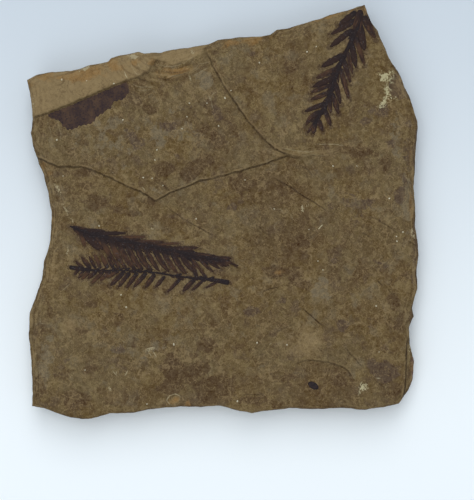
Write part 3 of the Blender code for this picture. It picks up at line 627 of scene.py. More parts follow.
# %% Dark hairline cracks and pale threads
DARK_LINES = {
    "crack": [
        (1, (33.5, 54.2), (39.5, 50), (43.3, 48), (46.5, 46), (49.4, 44.4)),
        (1.2, (60.3, 61.3), (62.8, 60), (65.8, 58.3), (69, 56), (72, 54.3), (76.3, 51.3)),
        (0.8, (85, 51.2), (87.8, 50), (90.3, 48.5), (93.3, 46.2)), (0.8, (95, 45), (97.8, 43.3)),
        (0.9, (87.3, 35.2), (89.2, 33.2)), (0.9, (90.1, 32.8), (91.3, 31.5), (93.6, 31.5)),
        (1, (68.1, 28.5), (70.8, 26.3), (72.8, 24.5), (74.8, 22.8)),
        (0.8, (78.5, 19.2), (81.8, 15.5), (84, 12.8)), (0.6, (53, 6.3), (59.5, 6.4)),
        (0.7, (86.8, 10.2), (90.2, 7.3)), (0.6, (41, 77.2), (45.5, 72.3)),
        (0.8, (32.8, 84.8), (34.8, 85), (36.3, 85.8), (37.8, 86.3), (40.3, 86.8), (41.5, 87.5)),
        (0.5, (36.3, 88.8), (37.8, 89.1), (38.8, 89.8), (40.8, 90)),
        (0.9, (49.5, 40), (52.5, 38.3), (53.3, 37.2)),
    ],
    "branch": [
        (0.6, (78.2, 54.2), (76.1, 50.8)), (0.7, (83.3, 47.1), (86.5, 45.4)),
        (0.9, (58.5, 31.9), (60.8, 32.8), (63.6, 33.4)), (0.6, (53, 46.2), (56, 44.3)),
        (0.6, (58.1, 48.2), (60, 46.3)), (0.7, (6.3, 58), (8, 56.5)),
        (0.9, (31.8, 59.5), (34.5, 58.5), (36.2, 56.7)), (0.5, (59, 20.2), (63.3, 22.5), (68, 24.5)),
        (0.6, (70, 66.2), (75, 66), (80, 67.2)),
        (0.3, (30.8, 90.6), (32.5, 90), (34.8, 89.6), (35.8, 89.8)),
        (0.9, (27.3, 85.5), (29, 85), (30.8, 84.3)), (0.8, (68, 63.8), (70.2, 62.6), (71.8, 60.6)),
    ],
}
PALE_LINES = {
    "fibre": [
        (0.5, (40.8, 85.8), (43.3, 87), (45.8, 88.5)),
        (0.6, (48.4, 82.4), (46.5, 81.6), (46, 80), (46.8, 76.5)),
        (0.6, (62.3, 68.5), (64.5, 67.8), (67.5, 67.2), (70.5, 67), (74, 67.6)),
        (1, (29.3, 17.6), (31.2, 18.1), (32.4, 18.3)), (0.9, (21.3, 12.5), (22.5, 10.8)),
        (0.8, (81.6, 103), (83.2, 103.2)), (0.45, (27.5, 90.5), (28, 88.5), (29, 87)),
        (0.6, (33.3, 85.3), (36.5, 86), (38.8, 86.5), (40.5, 87.3)), (0.5, (8.3, 31.8), (10.9, 34.2)),
        (0.5, (60, 54), (61.5, 52.5), (63.5, 52.8), (64.5, 51)), (0.4, (4.8, 76), (6.2, 71), (6, 67.5)),
        (0.35, (52, 25), (54.5, 27.5), (58.5, 28.2)),
    ],
    "thread": [
        (0.45, (45.8, 88.5), (45.5, 89.5), (43.8, 89), (42.5, 89.2)),
        (0.6, (25.6, 84.4), (27.8, 83.3), (30.8, 83.1), (32.8, 83.6)),
        (0.7, (70.8, 68.8), (75.8, 69), (80.5, 68.6)), (0.8, (30, 17.3), (31.3, 15.8)),
        (0.9, (25.3, 12.5), (24.3, 10.8)), (0.8, (28.6, 58.4), (29.8, 56.9)),
        (0.55, (25.8, 90), (26.3, 88), (27.5, 86.3), (29.3, 86.3)),
        (0.5, (30.8, 89.9), (32.3, 89.1), (33.8, 88.6), (36.3, 88.4), (38.8, 89), (40.8, 90.4),
         (43.8, 92)),
        (0.8, (60.5, 18.6), (61.2, 19.4)), (0.4, (3, 26.5), (3.4, 22)),
        (0.4, (7.6, 74.5), (8.6, 71.5), (8.2, 69)), (0.45, (63, 50), (61.8, 48.5), (62.5, 46.8)),
    ],
    "strand": [
        (1, (40.7, 86.3), (41, 84.7)), (0.4, (67.5, 65.9), (71.5, 66.4), (76, 65.8)),
        (1.4, (72.7, 47.5), (74, 49)), (0.8, (31.2, 17.5), (32.6, 15.4)),
        (0.8, (23.3, 20.2), (24.6, 19.3)), (1, (87, 10.5), (88.5, 10.4)),
        (1, (24.3, 87.3), (24.8, 86), (25.3, 85)), (0.45, (29, 90.5), (29.8, 88.8), (30.8, 87.5)),
        (0.9, (38.8, 5), (38.2, 6), (36.9, 6.5), (35.6, 6), (35, 4.9), (35.6, 3.9), (37, 3.5)),
        (0.5, (26.4, 82.9), (28.8, 82.3), (32, 82.7)), (0.4, (65.2, 52.5), (66.5, 50), (66, 47.5)),
        (0.4, (58, 26), (60, 28.5), (59.5, 31)),
    ],
}
LINE_REACH = 1.2
LINE_WANDER = 0.10


def line_field(x, y, lines):
    """The nearest line's signed distance in mm, held within its reach, and its strength near it."""
    x = x + LINE_WANDER * grain(x, y, 1.1, 301)
    y = y + LINE_WANDER * grain(x, y, 1.1, 302)
    nearest = np.full(np.shape(x), LINE_REACH)
    strength = np.zeros(np.shape(x))
    for strong, *points in lines:
        distance, along, length = beside_line(x, y, points)
        closer = np.abs(distance) < np.abs(nearest)
        fade = strong * smooth(1.6 - np.abs(distance)) * smooth(4 * along / length)
        nearest = np.where(closer, distance, nearest)
        strength = np.where(closer, fade * smooth(4 * (length - along) / length), strength)
    return nearest, strength


print("lines:", {name: len(lines) for name, lines in (DARK_LINES | PALE_LINES).items()})

# %% [markdown]
# ## Where the twigs lie
#
# Three conifer twigs are pressed into the face. Each is a stem with flat leaflets along both sides, read
# off as the x and y of the foot and of the tip, the width, and where they matter how far the blade bows
# to its left and how brown it is. Where leaflets lie too close to be told apart, short ones at random
# places fill the twig. The tables come before the slab's finish, because the stone round and between
# the leaflets is painted darker as shade.

# %% Leaflets and stems of the three twigs
Leaflet = namedtuple("Leaflet", "foot tip width bow brown", defaults=(0.0, 0.2))


def read_leaflets(rows):
    """Leaflets from rows of foot x and y, tip x and y, width, and perhaps bow and brown."""
    return [Leaflet(row[:2], row[2:4], *row[4:]) for row in rows]


RIGHT_STEM = [
    (83.6, 102.6), (83.25, 100), (82.25, 97.5), (81, 94.5), (80, 92.5), (79, 90.5), (78, 88.5),
    (77.25, 86), (76.5, 84), (76, 82), (75.25, 80), (74.5, 78.5), (73.5, 76.75), (72.25, 75),
    (71.25, 73.5),
]
RIGHT_LEAFLETS = read_leaflets([
    (83.5, 102.7, 81.6, 97.2, 1.7), (83.6, 102.6, 83.2, 96.6, 1.3),
    (82.5, 102.2, 77.75, 98.5, 1.6, 0, -0.15), (82.75, 100.25, 75.75, 96.25, 1.5, 0, -0.05),
    (81.5, 97.75, 75.6, 93.1, 1.6, 0, -0.1), (79.5, 91.5, 73.4, 88.1, 1.8, 0, -0.15),
    (78, 88, 72, 85.25, 1.6, 0, 0.36), (77.5, 86, 71.25, 83.1, 1.6, 0, -0.2),
    (76.5, 84, 70.75, 81.75, 1.2, 0, 0.18), (76, 82, 70.75, 80, 1.3, 0, 0.3),
    (74.75, 79.25, 69.25, 77, 1.3, 0, 0), (73.75, 77.25, 69.6, 73.5, 1.5, -0.6),
    (72.5, 75.25, 70, 71.5, 1), (72, 74.5, 71.5, 71.4, 1.4), (84.2, 101.4, 87.2, 95.2, 2, -0.25, 0.24),
    (83, 99.25, 84.4, 92.1, 2, 0, -0.1), (82, 96.25, 84.4, 88.4, 1.25, 0, 0.48),
    (81, 94.75, 82.25, 87.75, 1.6, 0, -0.15), (80, 92.5, 81.4, 86.25, 1.1, 0, 0.35),
    (79, 90.5, 80.9, 84, 1.45, 0, 0.21), (78.25, 88.25, 80.5, 80, 1.45, 0, 0.42),
    (77, 84.75, 78.4, 78.75, 1.4, 0, -0.1), (76.25, 82, 77.9, 76.25, 1.4, 0, 0.3),
    (75.5, 80.25, 75.9, 76.5, 1.1), (74.25, 78, 76, 73.25, 1.3), (72.5, 75.5, 74, 72, 1.4),
])
UPPER_STEM = [
    (10.5, 48.5), (13.25, 47.5), (17, 46.25), (20.75, 45.4), (25.75, 44.5), (30.75, 43.5),
    (35.75, 42.5), (40.75, 41.5), (44.5, 40.75), (48.25, 40), (51, 39.6),
]
UPPER_LEAFLETS = read_leaflets([
    (11, 48.4, 15.75, 47.5, 0.8), (13.25, 47.5, 19.75, 47.25, 1, 0, -0.4),
    (16.5, 46.5, 25, 46.75, 1.1, 0, -0.4), (21.25, 45.5, 30, 45.75, 1.1, 0, 0.7),
    (25.75, 44.6, 34.75, 44.5, 1.1, 0, 0.4), (30.25, 43.75, 38.75, 44.25, 0.8, 0, 0.6),
    (34.75, 42.75, 43.25, 43.1, 1.1), (39.75, 41.75, 46.75, 41, 1), (44.5, 40.75, 49.75, 40.5, 0.9),
    (11.75, 48, 13.25, 46.25, 1), (13.25, 47, 14.6, 43.25, 1.2, 0, 0.8),
    (14, 46.9, 16.8, 43.2, 1.3, 0, -0.2), (14.75, 46.75, 18.25, 42.25, 1.6, -0.2, -0.2),
    (15.7, 46.5, 19.2, 42.4, 1.5, -0.2, -0.1), (16.75, 46.25, 20.25, 42.75, 1.5, -0.2, 0.24),
    (18.5, 45.75, 22, 39.5, 1.5, -0.3, 0.48), (20.75, 45.5, 24.25, 38.5, 1.7, -0.3, 0.48),
    (22.75, 45, 26.25, 38, 1.7, -0.3, 0.36), (24.75, 44.5, 28.5, 37.5, 1.7, -0.3, 0.3),
    (27, 44.25, 30.75, 37.25, 1.7, -0.3, 0.18), (29.25, 43.75, 33.25, 37, 1.5, -0.3, 0.3),
    (31.5, 43.25, 35.75, 36.75, 1.5, -0.3, 0.18), (33.75, 42.75, 38, 36.25, 1.5, -0.3, 0.36),
    (36, 42.4, 40, 36.25, 1.5, -0.3, 0.18), (38.25, 42, 42, 36.75, 1.5, -0.3, 0.12),
    (40.25, 41.5, 43.75, 37.25, 1.1, -0.2, 0.3), (42.5, 41, 46.75, 36.9, 0.95, -0.2, 0.24),
    (44.25, 40.75, 48.5, 37.75, 1.1, -0.2, 0.12), (46.5, 40.25, 49.25, 38.5, 1),
    (48.75, 39.75, 50.5, 38.5, 0.8), (46.5, 40.5, 51.2, 40.4, 1.1), (48, 39.9, 51.4, 39.3, 1.1),
    (50.5, 39.75, 52.5, 38.25, 0.4),
])
LOWER_STEM = [
    (10.4, 38.25), (13.25, 37.75), (17, 37.4), (23.25, 37.4), (30.75, 37.1), (35.75, 36.25),
    (40.75, 35.5), (44.5, 35.25), (47, 35), (50.75, 34.25),
]
LOWER_LEAFLETS = read_leaflets([
    (13, 37.75, 11.75, 36.25, 0.8), (14.25, 37.5, 12.75, 35.25, 0.9, 0, 0.3),
    (15.75, 37.4, 13.5, 35, 1.1, 0, 0.54), (17.5, 37.25, 15, 35.25, 1.1),
    (19.25, 37.25, 16, 34, 1.1, 0, 0.54), (21, 37.25, 18.1, 34.75, 1.2, 0, 0.54),
    (22.75, 37.25, 19.75, 35.5, 1, 0, 0.54), (24.25, 37, 20.75, 33.5, 1.4),
    (25.75, 37, 22.75, 33.1, 1.2), (27.75, 37, 24.75, 32.9, 1.2, 0, 0.18), (30, 37, 26.5, 33, 1.2),
    (32, 36.5, 29.5, 33, 1.3, 0, 0.24), (34.5, 36, 32, 33, 1), (38.5, 35.5, 34.9, 31.75, 1),
    (42, 35.25, 38.75, 32, 1.3, 0, 0.18), (44.5, 35.25, 41, 32.25, 0.9),
    (47.75, 34.75, 44.5, 32.9, 0.7, 0, 0.3), (14.25, 37.75, 12, 39.75, 0.9),
    (16, 37.75, 13.5, 40.9, 1.2), (17.25, 37.75, 15.4, 41, 0.9, 0, 0.18),
    (18.5, 37.75, 16.75, 41.6, 1.1, 0, 0.54), (20.25, 37.75, 18.5, 41.5, 1.2, 0, 0.54),
    (21.75, 37.75, 20, 41, 1.1, 0, 0.18), (23.25, 37.6, 21.5, 40.5, 1.1, 0, 0.36),
    (25, 37.5, 23.25, 40, 1, 0, 0.3), (27, 37.5, 25.5, 40, 1), (29, 37.4, 27.5, 39.75, 1),
    (31.25, 37.1, 29.75, 39.5, 0.9, 0, 0.18), (42.5, 35.5, 41.25, 39.25, 1.3), (45, 35.25, 43, 38, 0.9),
])


SHAG_TURNS = (8.0, 30.0)
SHAG_LENGTHS = (1.6, 5.0)
SHAG_WIDTHS = (0.45, 0.85)


def shag(line, count, reach, lean, seed):
    """Short dark leaflets that lie almost along a stem and make its feathery body: feet at random
    places on the line, turned by some degrees to either side, and as long as it takes to get the given
    reach out, which is lean times as far on the right of the line."""
    random = np.random.default_rng(seed)
    share = np.sort(random.uniform(0.02, 0.94, count))
    length = marks_along(line)[-1]
    feet, ahead = (places_along(line, share * length + step) for step in (0.0, 0.5))
    turn = np.radians(random.uniform(*SHAG_TURNS, count)) * np.where(np.arange(count) % 2, 1.0, -1.0)
    out = np.interp(share, np.linspace(0, 1, len(reach)), reach) * random.uniform(0.5, 1.1, count)
    reached = np.clip(out * np.where(turn < 0, lean, 1.0) / np.sin(np.abs(turn)), *SHAG_LENGTHS)
    heading = np.arctan2(*(ahead - feet).T[::-1]) + turn
    tips = feet + np.column_stack((np.cos(heading), np.sin(heading))) * reached[:, None]
    width = random.uniform(*SHAG_WIDTHS, count)
    brown = random.uniform(-1.0, 0.1, count)
    return [Leaflet(tuple(feet[i]), tuple(tips[i]), width[i], 0.0, brown[i]) for i in range(count)]


RIGHT_SHAG = shag(RIGHT_STEM, 44, (0.9, 1.1, 1.0, 1.1, 1.0, 0.6), 1.0, 511)
UPPER_SHAG = shag(UPPER_STEM, 165, (0.5, 1.3, 1.5, 1.3, 1.2, 1.1, 1.0, 0.8, 0.7), 1.9, 512)
LOWER_SHAG = shag(LOWER_STEM, 40, (0.8, 0.7, 0.5, 0.4, 0.4, 0.4, 0.4, 0.6), 1.0, 513)
print("leaflets:", len(RIGHT_LEAFLETS), "right,", len(UPPER_LEAFLETS) + len(LOWER_LEAFLETS), "left")

# %% Painted shade round the leaflets
LEAFLET_SHADE_REACH = 0.45
BLADE_SHARE = 0.38
STEM_HALF = 0.4
LEAFLET_SHADE_SPOTS = [
    (31.0, 40.6, 10.0, 3.0, -9, 1.0), (17.5, 44.9, 5.5, 2.1, -18, 1.2), (15.5, 36.5, 4.0, 1.5, 0, 0.5),
]


def leaflet_shade(x, y):
    """Painted shade by the twigs: full under a leaflet or stem, none half a millimetre outside it."""
    outside = np.full(np.shape(x), np.inf)
    for leaflet in RIGHT_LEAFLETS + UPPER_LEAFLETS + LOWER_LEAFLETS:
        distance = np.abs(beside_line(x, y, [leaflet.foot, leaflet.tip])[0])
        outside = np.minimum(outside, distance - BLADE_SHARE * leaflet.width)
    for stem in (RIGHT_STEM, UPPER_STEM, LOWER_STEM):
        outside = np.minimum(outside, np.abs(beside_line(x, y, stem)[0]) - STEM_HALF)
    between = sum(patch(x, y, spot) for spot in LEAFLET_SHADE_SPOTS)
    return np.minimum(np.maximum(smooth(1 - outside / LEAFLET_SHADE_REACH), between), 1.0)


# %% Values on the slab's vertices
LEDGE_REACH = 1.6
LENS_SPOT = (74.5, 7.0, 9.5, 8.0, 0, 1.8)
LEDGE_SETS = {"step": ("kite", "lower arc", "lower right sheet"), "sheet": ("right sheet", "top band")}


def ledge_set(fields, names):
    """The nearest of some ledges: its signed distance, and how strong it is close to it."""
    nearest = np.full(np.shape(fields[names[0]][0]), LEDGE_REACH)
    strength = np.zeros(np.shape(nearest))
    for name in names:
        distance, strong = fields[name]
        closer = np.abs(distance) < np.abs(nearest)
        nearest = np.where(closer, distance, nearest)
        shade = (LEDGES | BREAKS)[name].shade
        near = shade * strong ** 3 * smooth(LEDGE_REACH - np.abs(distance))
        strength = np.where(closer, near, strength)
    return nearest, strength


x, y, z = slab_mm.T
on_face = np.zeros(len(x))
on_face[:front_count] = 1.0
on_back = np.zeros(len(x))
on_back[back_first:] = 1.0
rim, _ = rim_share(x, y)
fields = ledge_fields(x, y)
slab_values = {name: tint(x, y, spots) * (1 - on_back) for name, spots in TINTS.items()}
band, _ = fields["top band"]
slab_values["band"] = smooth(band / 0.3 + 0.5) * (1 - on_back)
arc, _ = fields["lower arc"]
slab_values["lens"] = smooth(0.5 - arc / 0.4) * np.minimum(patch(x, y, LENS_SPOT), 1.0) * on_face
slab_values["side"] = 1 - on_face - on_back
slab_values["rim"] = rim * (1 - on_back)
slab_values["inset"] = np.minimum(np.abs(beside_line(x, y, OUTLINE + OUTLINE[:1])[0]), 8.0)
slab_values["arc"], slab_values["shell"] = shell_field(x, y)
slab_values["back"] = on_back
slab_values["leaflet_shade"] = leaflet_shade(x, y) * on_face
for name in ("dust", "cream"):
    slab_values[name] = slab_values[name] * on_face
for name, lines in (DARK_LINES | PALE_LINES).items():
    distance, strength = line_field(x, y, lines)
    slab_values[name] = distance
    slab_values[name + "_near"] = strength * on_face
for name, members in LEDGE_SETS.items():
    distance, strength = ledge_set(fields, members)
    slab_values[name] = distance
    slab_values[name + "_near"] = strength * on_face
slab = add_piece(
    "mudstone_slab", in_metres(x, y, z), np.vstack(quads), strip, "slab", slab_values
)

# %% [markdown]
# ## Lofted pieces
#
# A leaflet, a stem, a seed and a grain of sand are all one shape: rings carried along a path and closed
# to a point at both ends. With every ring worked out at once, a whole twig is one array with an axis for
# the leaflets, one for the steps along each and one for the places round each ring.

# %% Rings to closed skins
def lofted(rings):
    """Places and faces of closed skins from an array (pieces, steps, places round, 3). The first and the
    last ring of each piece are replaced by their middles, so that both ends come to a point."""
    pieces, steps, sides = rings.shape[:3]
    start, end = rings[:, 0].mean(axis=1), rings[:, -1].mean(axis=1)
    inner = rings[:, 1:-1].reshape(pieces, -1, 3)
    places = np.concatenate((inner, start[:, None], end[:, None]), axis=1)
    per_piece = places.shape[1]
    numbers = np.arange((steps - 2) * sides).reshape(steps - 2, sides)
    beside = np.roll(numbers, -1, axis=1)
    quads = np.stack((numbers[:-1], numbers[1:], beside[1:], beside[:-1]), axis=-1).reshape(-1, 4)
    first = np.column_stack((np.full(sides, per_piece - 2), numbers[0], beside[0]))
    last = np.column_stack((numbers[-1], np.full(sides, per_piece - 1), beside[-1]))
    offset = (np.arange(pieces) * per_piece)[:, None, None]
    triangles = np.vstack((first, last))
    return (
        places.reshape(-1, 3),
        (quads[None] + offset).reshape(-1, 4),
        (triangles[None] + offset).reshape(-1, 3),
    )


def carried(values):
    """Values on rings (pieces, steps, places round) in the order in which lofted() keeps its places."""
    inner = values[:, 1:-1].reshape(len(values), -1)
    return np.concatenate((inner, values[:, 0, :1], values[:, -1, :1]), axis=1).ravel()


# %% [markdown]
# ## The pressed twigs
#
# A conifer leaflet is a flat blade, broad for most of its length and drawn out to a tip. Pressed, it is
# a film a few hundredths of a millimetre proud of the stone, with its midrib as a faint groove. The
# films could be painted on the stone, but real edges catch the light. Leaflets of one twig overlap like
# scales, so each lies a little higher or lower than the next. The short leaflets are there by the
# hundred, so each of those gets only a few dozen faces.

# %% A film's cross-section, and blades made from it
Mesh = namedtuple("Mesh", "steps sides")
LEAFLET_MESH = Mesh(13, 10)
SHAG_MESH = Mesh(7, 8)
STEM_MESH = Mesh(90, 12)
FILM_RISE = 0.07
FILM_SINK = 0.16
FILM_EDGE = 0.05
GROOVE_DEPTH = 0.35
GROOVE_WIDTH = 0.22


def round_angles(sides):
    """Angles at even steps round a ring."""
    return np.arange(sides) * 2 * math.pi / sides


def film_rings(middle_x, middle_y, left_x, left_y, half, lift, sides):
    """Flat rings along a path. Round each ring the angle gives the place across, as its cosine. The
    top rises over the stone by the film's height, with a groove along the middle; the underside is
    sunk."""
    around = round_angles(sides)
    across = np.cos(around)
    x = middle_x[..., None] + left_x[..., None] * half[..., None] * across
    y = middle_y[..., None] + left_y[..., None] * half[..., None] * across
    crown = np.sqrt(np.abs(np.sin(around)))
    groove = GROOVE_DEPTH * np.exp(-(across / GROOVE_WIDTH) ** 2)
    above = (FILM_EDGE + FILM_RISE + lift[..., None]) * (crown - groove)
    over = np.where(np.sin(around) > 1e-6, above, -FILM_SINK * crown) - FILM_EDGE
    z = np.minimum(face_height(x, y) + over, TOP_LIMIT)
    return np.stack((x, y, z), axis=-1)


def blade_rings(leaflets, mesh, seed):
    """Blades from foot to tip: broad at the foot, widest before the middle, drawn out to a point."""
    random = np.random.default_rng(seed)
    foot, tip = (np.array([getattr(leaflet, key) for leaflet in leaflets]) for key in ("foot", "tip"))
    width, bow = (np.array([getattr(leaflet, key) for leaflet in leaflets]) for key in ("width", "bow"))
    share = np.linspace(0.0, 1.0, mesh.steps)[None]
    run = tip - foot
    left = np.column_stack((-run[:, 1], run[:, 0])) / np.hypot(*run.T)[:, None]
    bend = 4 * bow[:, None] * share * (1 - share)
    x = foot[:, :1] + run[:, :1] * share + left[:, :1] * bend
    y = foot[:, 1:] + run[:, 1:] * share + left[:, 1:] * bend
    foot_share = 0.72 + 0.28 * smooth(share / 0.30)
    taper = np.clip(1 - (np.clip(share - 0.45, 0, None) / 0.55) ** 2.3, 0, 1) ** 0.75
    ragged = 1 + 0.18 * grain(x, y, 0.6, seed)
    half = width[:, None] / 2 * foot_share * np.maximum(taper, 0.02) * ragged
    lift = random.uniform(0.0, 0.07, (len(leaflets), 1)) + 0 * share
    left = left[:, :, None] + np.zeros(x.shape)[:, None]
    return film_rings(x, y, left[:, 0], left[:, 1], half, lift, mesh.sides), share


def even_steps(line, count):
    """Places at even steps along a line of straight runs."""
    return places_along(line, np.linspace(0.0, marks_along(line)[-1], count))


def stem_rings(line, widths):
    """A stem along its line, its width running between the given widths and swelling a little."""
    kernel = np.hanning(13)[1:-1]
    kernel = kernel / kernel.sum()
    path = []
    for even in even_steps(line, STEM_MESH.steps).T:
        padded = np.pad(even, len(kernel) // 2, mode="reflect", reflect_type="odd")
        path.append(np.convolve(padded, kernel, "valid"))
    run = np.gradient(np.array(path), axis=1)
    run = run / np.hypot(*run)
    share = np.linspace(0, 1, len(widths))
    half = np.interp(np.linspace(0, 1, STEM_MESH.steps), share, widths) / 2
    half = half * (1 + 0.30 * grain(path[0], path[1], 1.6, 401))
    half[0] = half[-1] = 0.01
    lift = np.full(STEM_MESH.steps, 0.08)
    one = (values[None] for values in (path[0], path[1], -run[1], run[0], half, lift))
    return film_rings(*one, STEM_MESH.sides)


# %% Put each twig together
def join(parts):
    """Places, quads, triangles and values of several skins, numbered on from one another."""
    places, quads, triangles, values = [], [], [], {}
    count = 0
    for part_places, part_quads, part_triangles, part_values in parts:
        places.append(part_places)
        quads.append(part_quads + count)
        triangles.append(part_triangles + count)
        for key, numbers in part_values.items():
            values.setdefault(key, []).append(numbers)
        count += len(part_places)
    values = {key: np.concatenate(numbers) for key, numbers in values.items()}
    return np.vstack(places), np.vstack(quads), np.vstack(triangles), values


def with_values(rings, brown, along, woody):
    """Skins from rings, with four values on each place: how brown, the share along, the place across,
    and whether it is wood."""
    shape = rings.shape[:3]
    values = {"brown": brown, "along": along, "across": np.cos(round_angles(shape[2])), "woody": woody}
    values = {key: carried(value + np.zeros(shape)) for key, value in values.items()}
    return lofted(rings) + (values,)


def twig_parts(line, widths, leaflets, short, seed):
    """A twig's skins: its long leaflets, its short ones with fewer faces, and its stem."""
    parts = []
    for blades, mesh in ((leaflets, LEAFLET_MESH), (short, SHAG_MESH)):
        rings, share = blade_rings(blades, mesh, seed)
        brown = np.array([leaflet.brown for leaflet in blades])[:, None, None]
        parts.append(with_values(rings, brown, share[..., None], 0.0))
    parts.append(with_values(stem_rings(line, widths), 0.0, 0.5, 1.0))
    return parts


def add_film(name, parts, node):
    """One film of coal from the skins of its parts."""
    places, quads, triangles, values = join(parts)
    return add_piece(name, in_metres(*places.T), quads, triangles, node, values)


RIGHT_WIDTHS = (0.5, 1.3, 1.1, 0.9, 1.0, 1.0, 0.9, 0.8, 0.4)
UPPER_WIDTHS = (0.5, 0.8, 0.9, 0.9, 0.9, 0.9, 0.8, 0.8, 0.9, 0.8)
LOWER_WIDTHS = (1.4, 0.7, 0.4, 0.35, 0.35, 0.4, 0.4, 0.5, 0.9, 1.4)
right_twig = add_film(
    "pressed_twig_right", twig_parts(RIGHT_STEM, RIGHT_WIDTHS, RIGHT_LEAFLETS, RIGHT_SHAG, 501),
    "twig_upper_right",
)
left_twigs = add_film(
    "pressed_twigs_left",
    twig_parts(UPPER_STEM, UPPER_WIDTHS, UPPER_LEAFLETS, UPPER_SHAG, 502)
    + twig_parts(LOWER_STEM, LOWER_WIDTHS, LOWER_LEAFLETS, LOWER_SHAG, 503),
    "twigs_left",
)

# %% [markdown]
# ## The piece of broad leaf
#
# A scrap of a broad leaf goes under the top band, so its upper edge is the ledge's straight foot. Its
# lower edge is the real margin, torn into fine teeth. It is a ruled surface: straight lines from the
# upper edge to the lower one, with the top a hair above the stone and the underside sunk in it.

# %% The leaf film
LEAF_TOP = [
    (5, 76.4), (10.8, 78.75), (18.3, 81.95), (24.8, 84.55), (25.5, 83.2),
]
LEAF_FOOT = [
    (5.3, 75.8), (7.3, 75), (8.5, 74.5), (8.8, 73.5), (10.3, 72.3), (12.3, 72.8), (13, 73.5),
    (15, 73.8), (16, 74.1), (17, 74.8), (17.5, 75.8), (18.8, 76.3), (19.8, 77.3), (21, 77.8),
    (21.5, 79.3), (22.8, 79.8), (24, 80.1), (25.3, 81.5), (25.6, 82.3),
]
LEAF_CELLS = (150, 48)
LEAF_SINK = 0.04
LEAF_DEPTH = 0.15


def leaf_skin():
    """Rings across the leaf, from its left end to its right end: over the top and back underneath."""
    long, wide = LEAF_CELLS
    top, foot = even_steps(LEAF_TOP, long), even_steps(LEAF_FOOT, long)
    steps = np.arange(long)
    tooth = 0.16 * np.sin(steps * 0.85) + 0.22 * grain(foot[:, 0], foot[:, 1], 0.55, 601)
    foot[:, 1] = foot[:, 1] + tooth * smooth(steps / 12) * smooth((long - 1 - steps) / 12)
    v = np.concatenate((np.linspace(0, 1, wide), np.linspace(1, 0, wide)[1:-1]))
    over = np.concatenate((np.ones(wide), np.zeros(wide - 2)))
    place = top[:, None] * (1 - v)[None, :, None] + foot[:, None] * v[None, :, None]
    x, y = place[..., 0], place[..., 1]
    u = np.linspace(0, 1, long)[:, None] + 0 * x
    inside = smooth(np.minimum(36 * np.minimum(v, 1 - v)[None] + 0 * u, 60 * np.minimum(u, 1 - u)))
    thick = LEAF_SINK + 0.035 + 0.02 * mottle(x, y, 2.0, 611)
    z = face_height(x, y) - LEAF_SINK + np.where(over, thick * inside, -LEAF_DEPTH * inside)
    rings = np.stack((x, y, z), axis=-1)[None, :, ::-1]
    veins = np.abs(np.sin((x * 0.6 + y * 0.8) * 2.2))
    values = {"inside": inside, "veins": veins}
    return lofted(rings) + ({key: carried(value[None, :, ::-1]) for key, value in values.items()},)


leaf = add_film("pressed_leaf", [leaf_skin()], "leaf_fragment")

# %% [markdown]
# ## The seed and the sand grains
#
# The seed is a flattened oval with a low keel. Grains of pale quartz sand sit in the mud here and there
# and are the brightest points of the face. Both are rings round an upright axis.

# %% Domes
SEED = (71.6, 8.6, 1.5, 0.88, -30)
SEED_RISE = 0.16
SEED_SINK = 0.25
GRAIN_RISE = 0.35
GRAIN_SINK = 0.15
GRAINS = [
    (49.5, 80.5, 0.255), (40.6, 79.2, 0.187), (45, 79.2, 0.17), (47.9, 73.5, 0.204),
    (58.1, 89.3, 0.204), (70, 92, 0.204), (72.3, 93.3, 0.153), (32.5, 67.5, 0.187), (32, 65, 0.204),
    (29.1, 60.6, 0.221), (31.3, 60.4, 0.187), (18, 48.5, 0.204), (23.5, 31.3, 0.187),
    (24.8, 28.2, 0.255), (90.6, 55.4, 0.221), (87.3, 28.5, 0.221), (52.6, 4.7, 0.221),
    (65, 18.8, 0.204), (57.5, 19.3, 0.221), (76.5, 63.5, 0.187), (94, 47, 0.187), (92.4, 45.9, 0.17),
    (92.5, 44.7, 0.187), (8.8, 85, 0.204), (21.8, 84, 0.187), (7.5, 70, 0.238), (24, 75, 0.221),
    (38.8, 72.8, 0.17), (40, 75.8, 0.17), (72.75, 39.75, 0.17), (74, 37.5, 0.17), (54.5, 60, 0.153),
    (42.3, 50.3, 0.187), (61.8, 52.8, 0.17), (51, 82.3, 0.17), (34, 58.6, 0.17), (75, 76.5, 0.153),
    (36.7, 18.9, 0.255), (14.5, 12.5, 0.17), (30, 4, 0.17), (82.5, 63.5, 0.136), (15, 84.7, 0.136),
    (88, 17, 0.153), (70.5, 47.6, 0.153), (9, 61, 0.153),
]
DOME_STEPS = 7
DOME_SIDES = 12


def dome_rings(x0, y0, half_x, half_y, turn, rise, sink):
    """Low domes: rings from the lowest point to the highest, their size the sine of a half turn."""
    turns = np.linspace(0, math.pi, DOME_STEPS)[None, :, None]
    round_it = round_angles(DOME_SIDES)[None, None]
    x0, y0, half_x, half_y, turn, rise = (
        np.asarray(value, float)[:, None, None] for value in (x0, y0, half_x, half_y, turn, rise)
    )
    across, up = half_x * np.cos(round_it), half_y * np.sin(round_it)
    x = x0 + np.sin(turns) * (across * np.cos(turn) - up * np.sin(turn))
    y = y0 + np.sin(turns) * (across * np.sin(turn) + up * np.cos(turn))
    level = face_height(x0, y0)
    z = level - np.cos(turns) * np.where(np.cos(turns) > 0, sink, rise) + 0 * round_it
    return np.stack((x + 0 * turns, y + 0 * turns, z), axis=-1)


def add_domes(name, rings, node):
    """Domes as one piece, its faces turned round because their rings run from the bottom up."""
    places, quads, triangles = lofted(rings)
    return add_piece(name, in_metres(*places.T), quads[:, ::-1], triangles[:, ::-1], node)


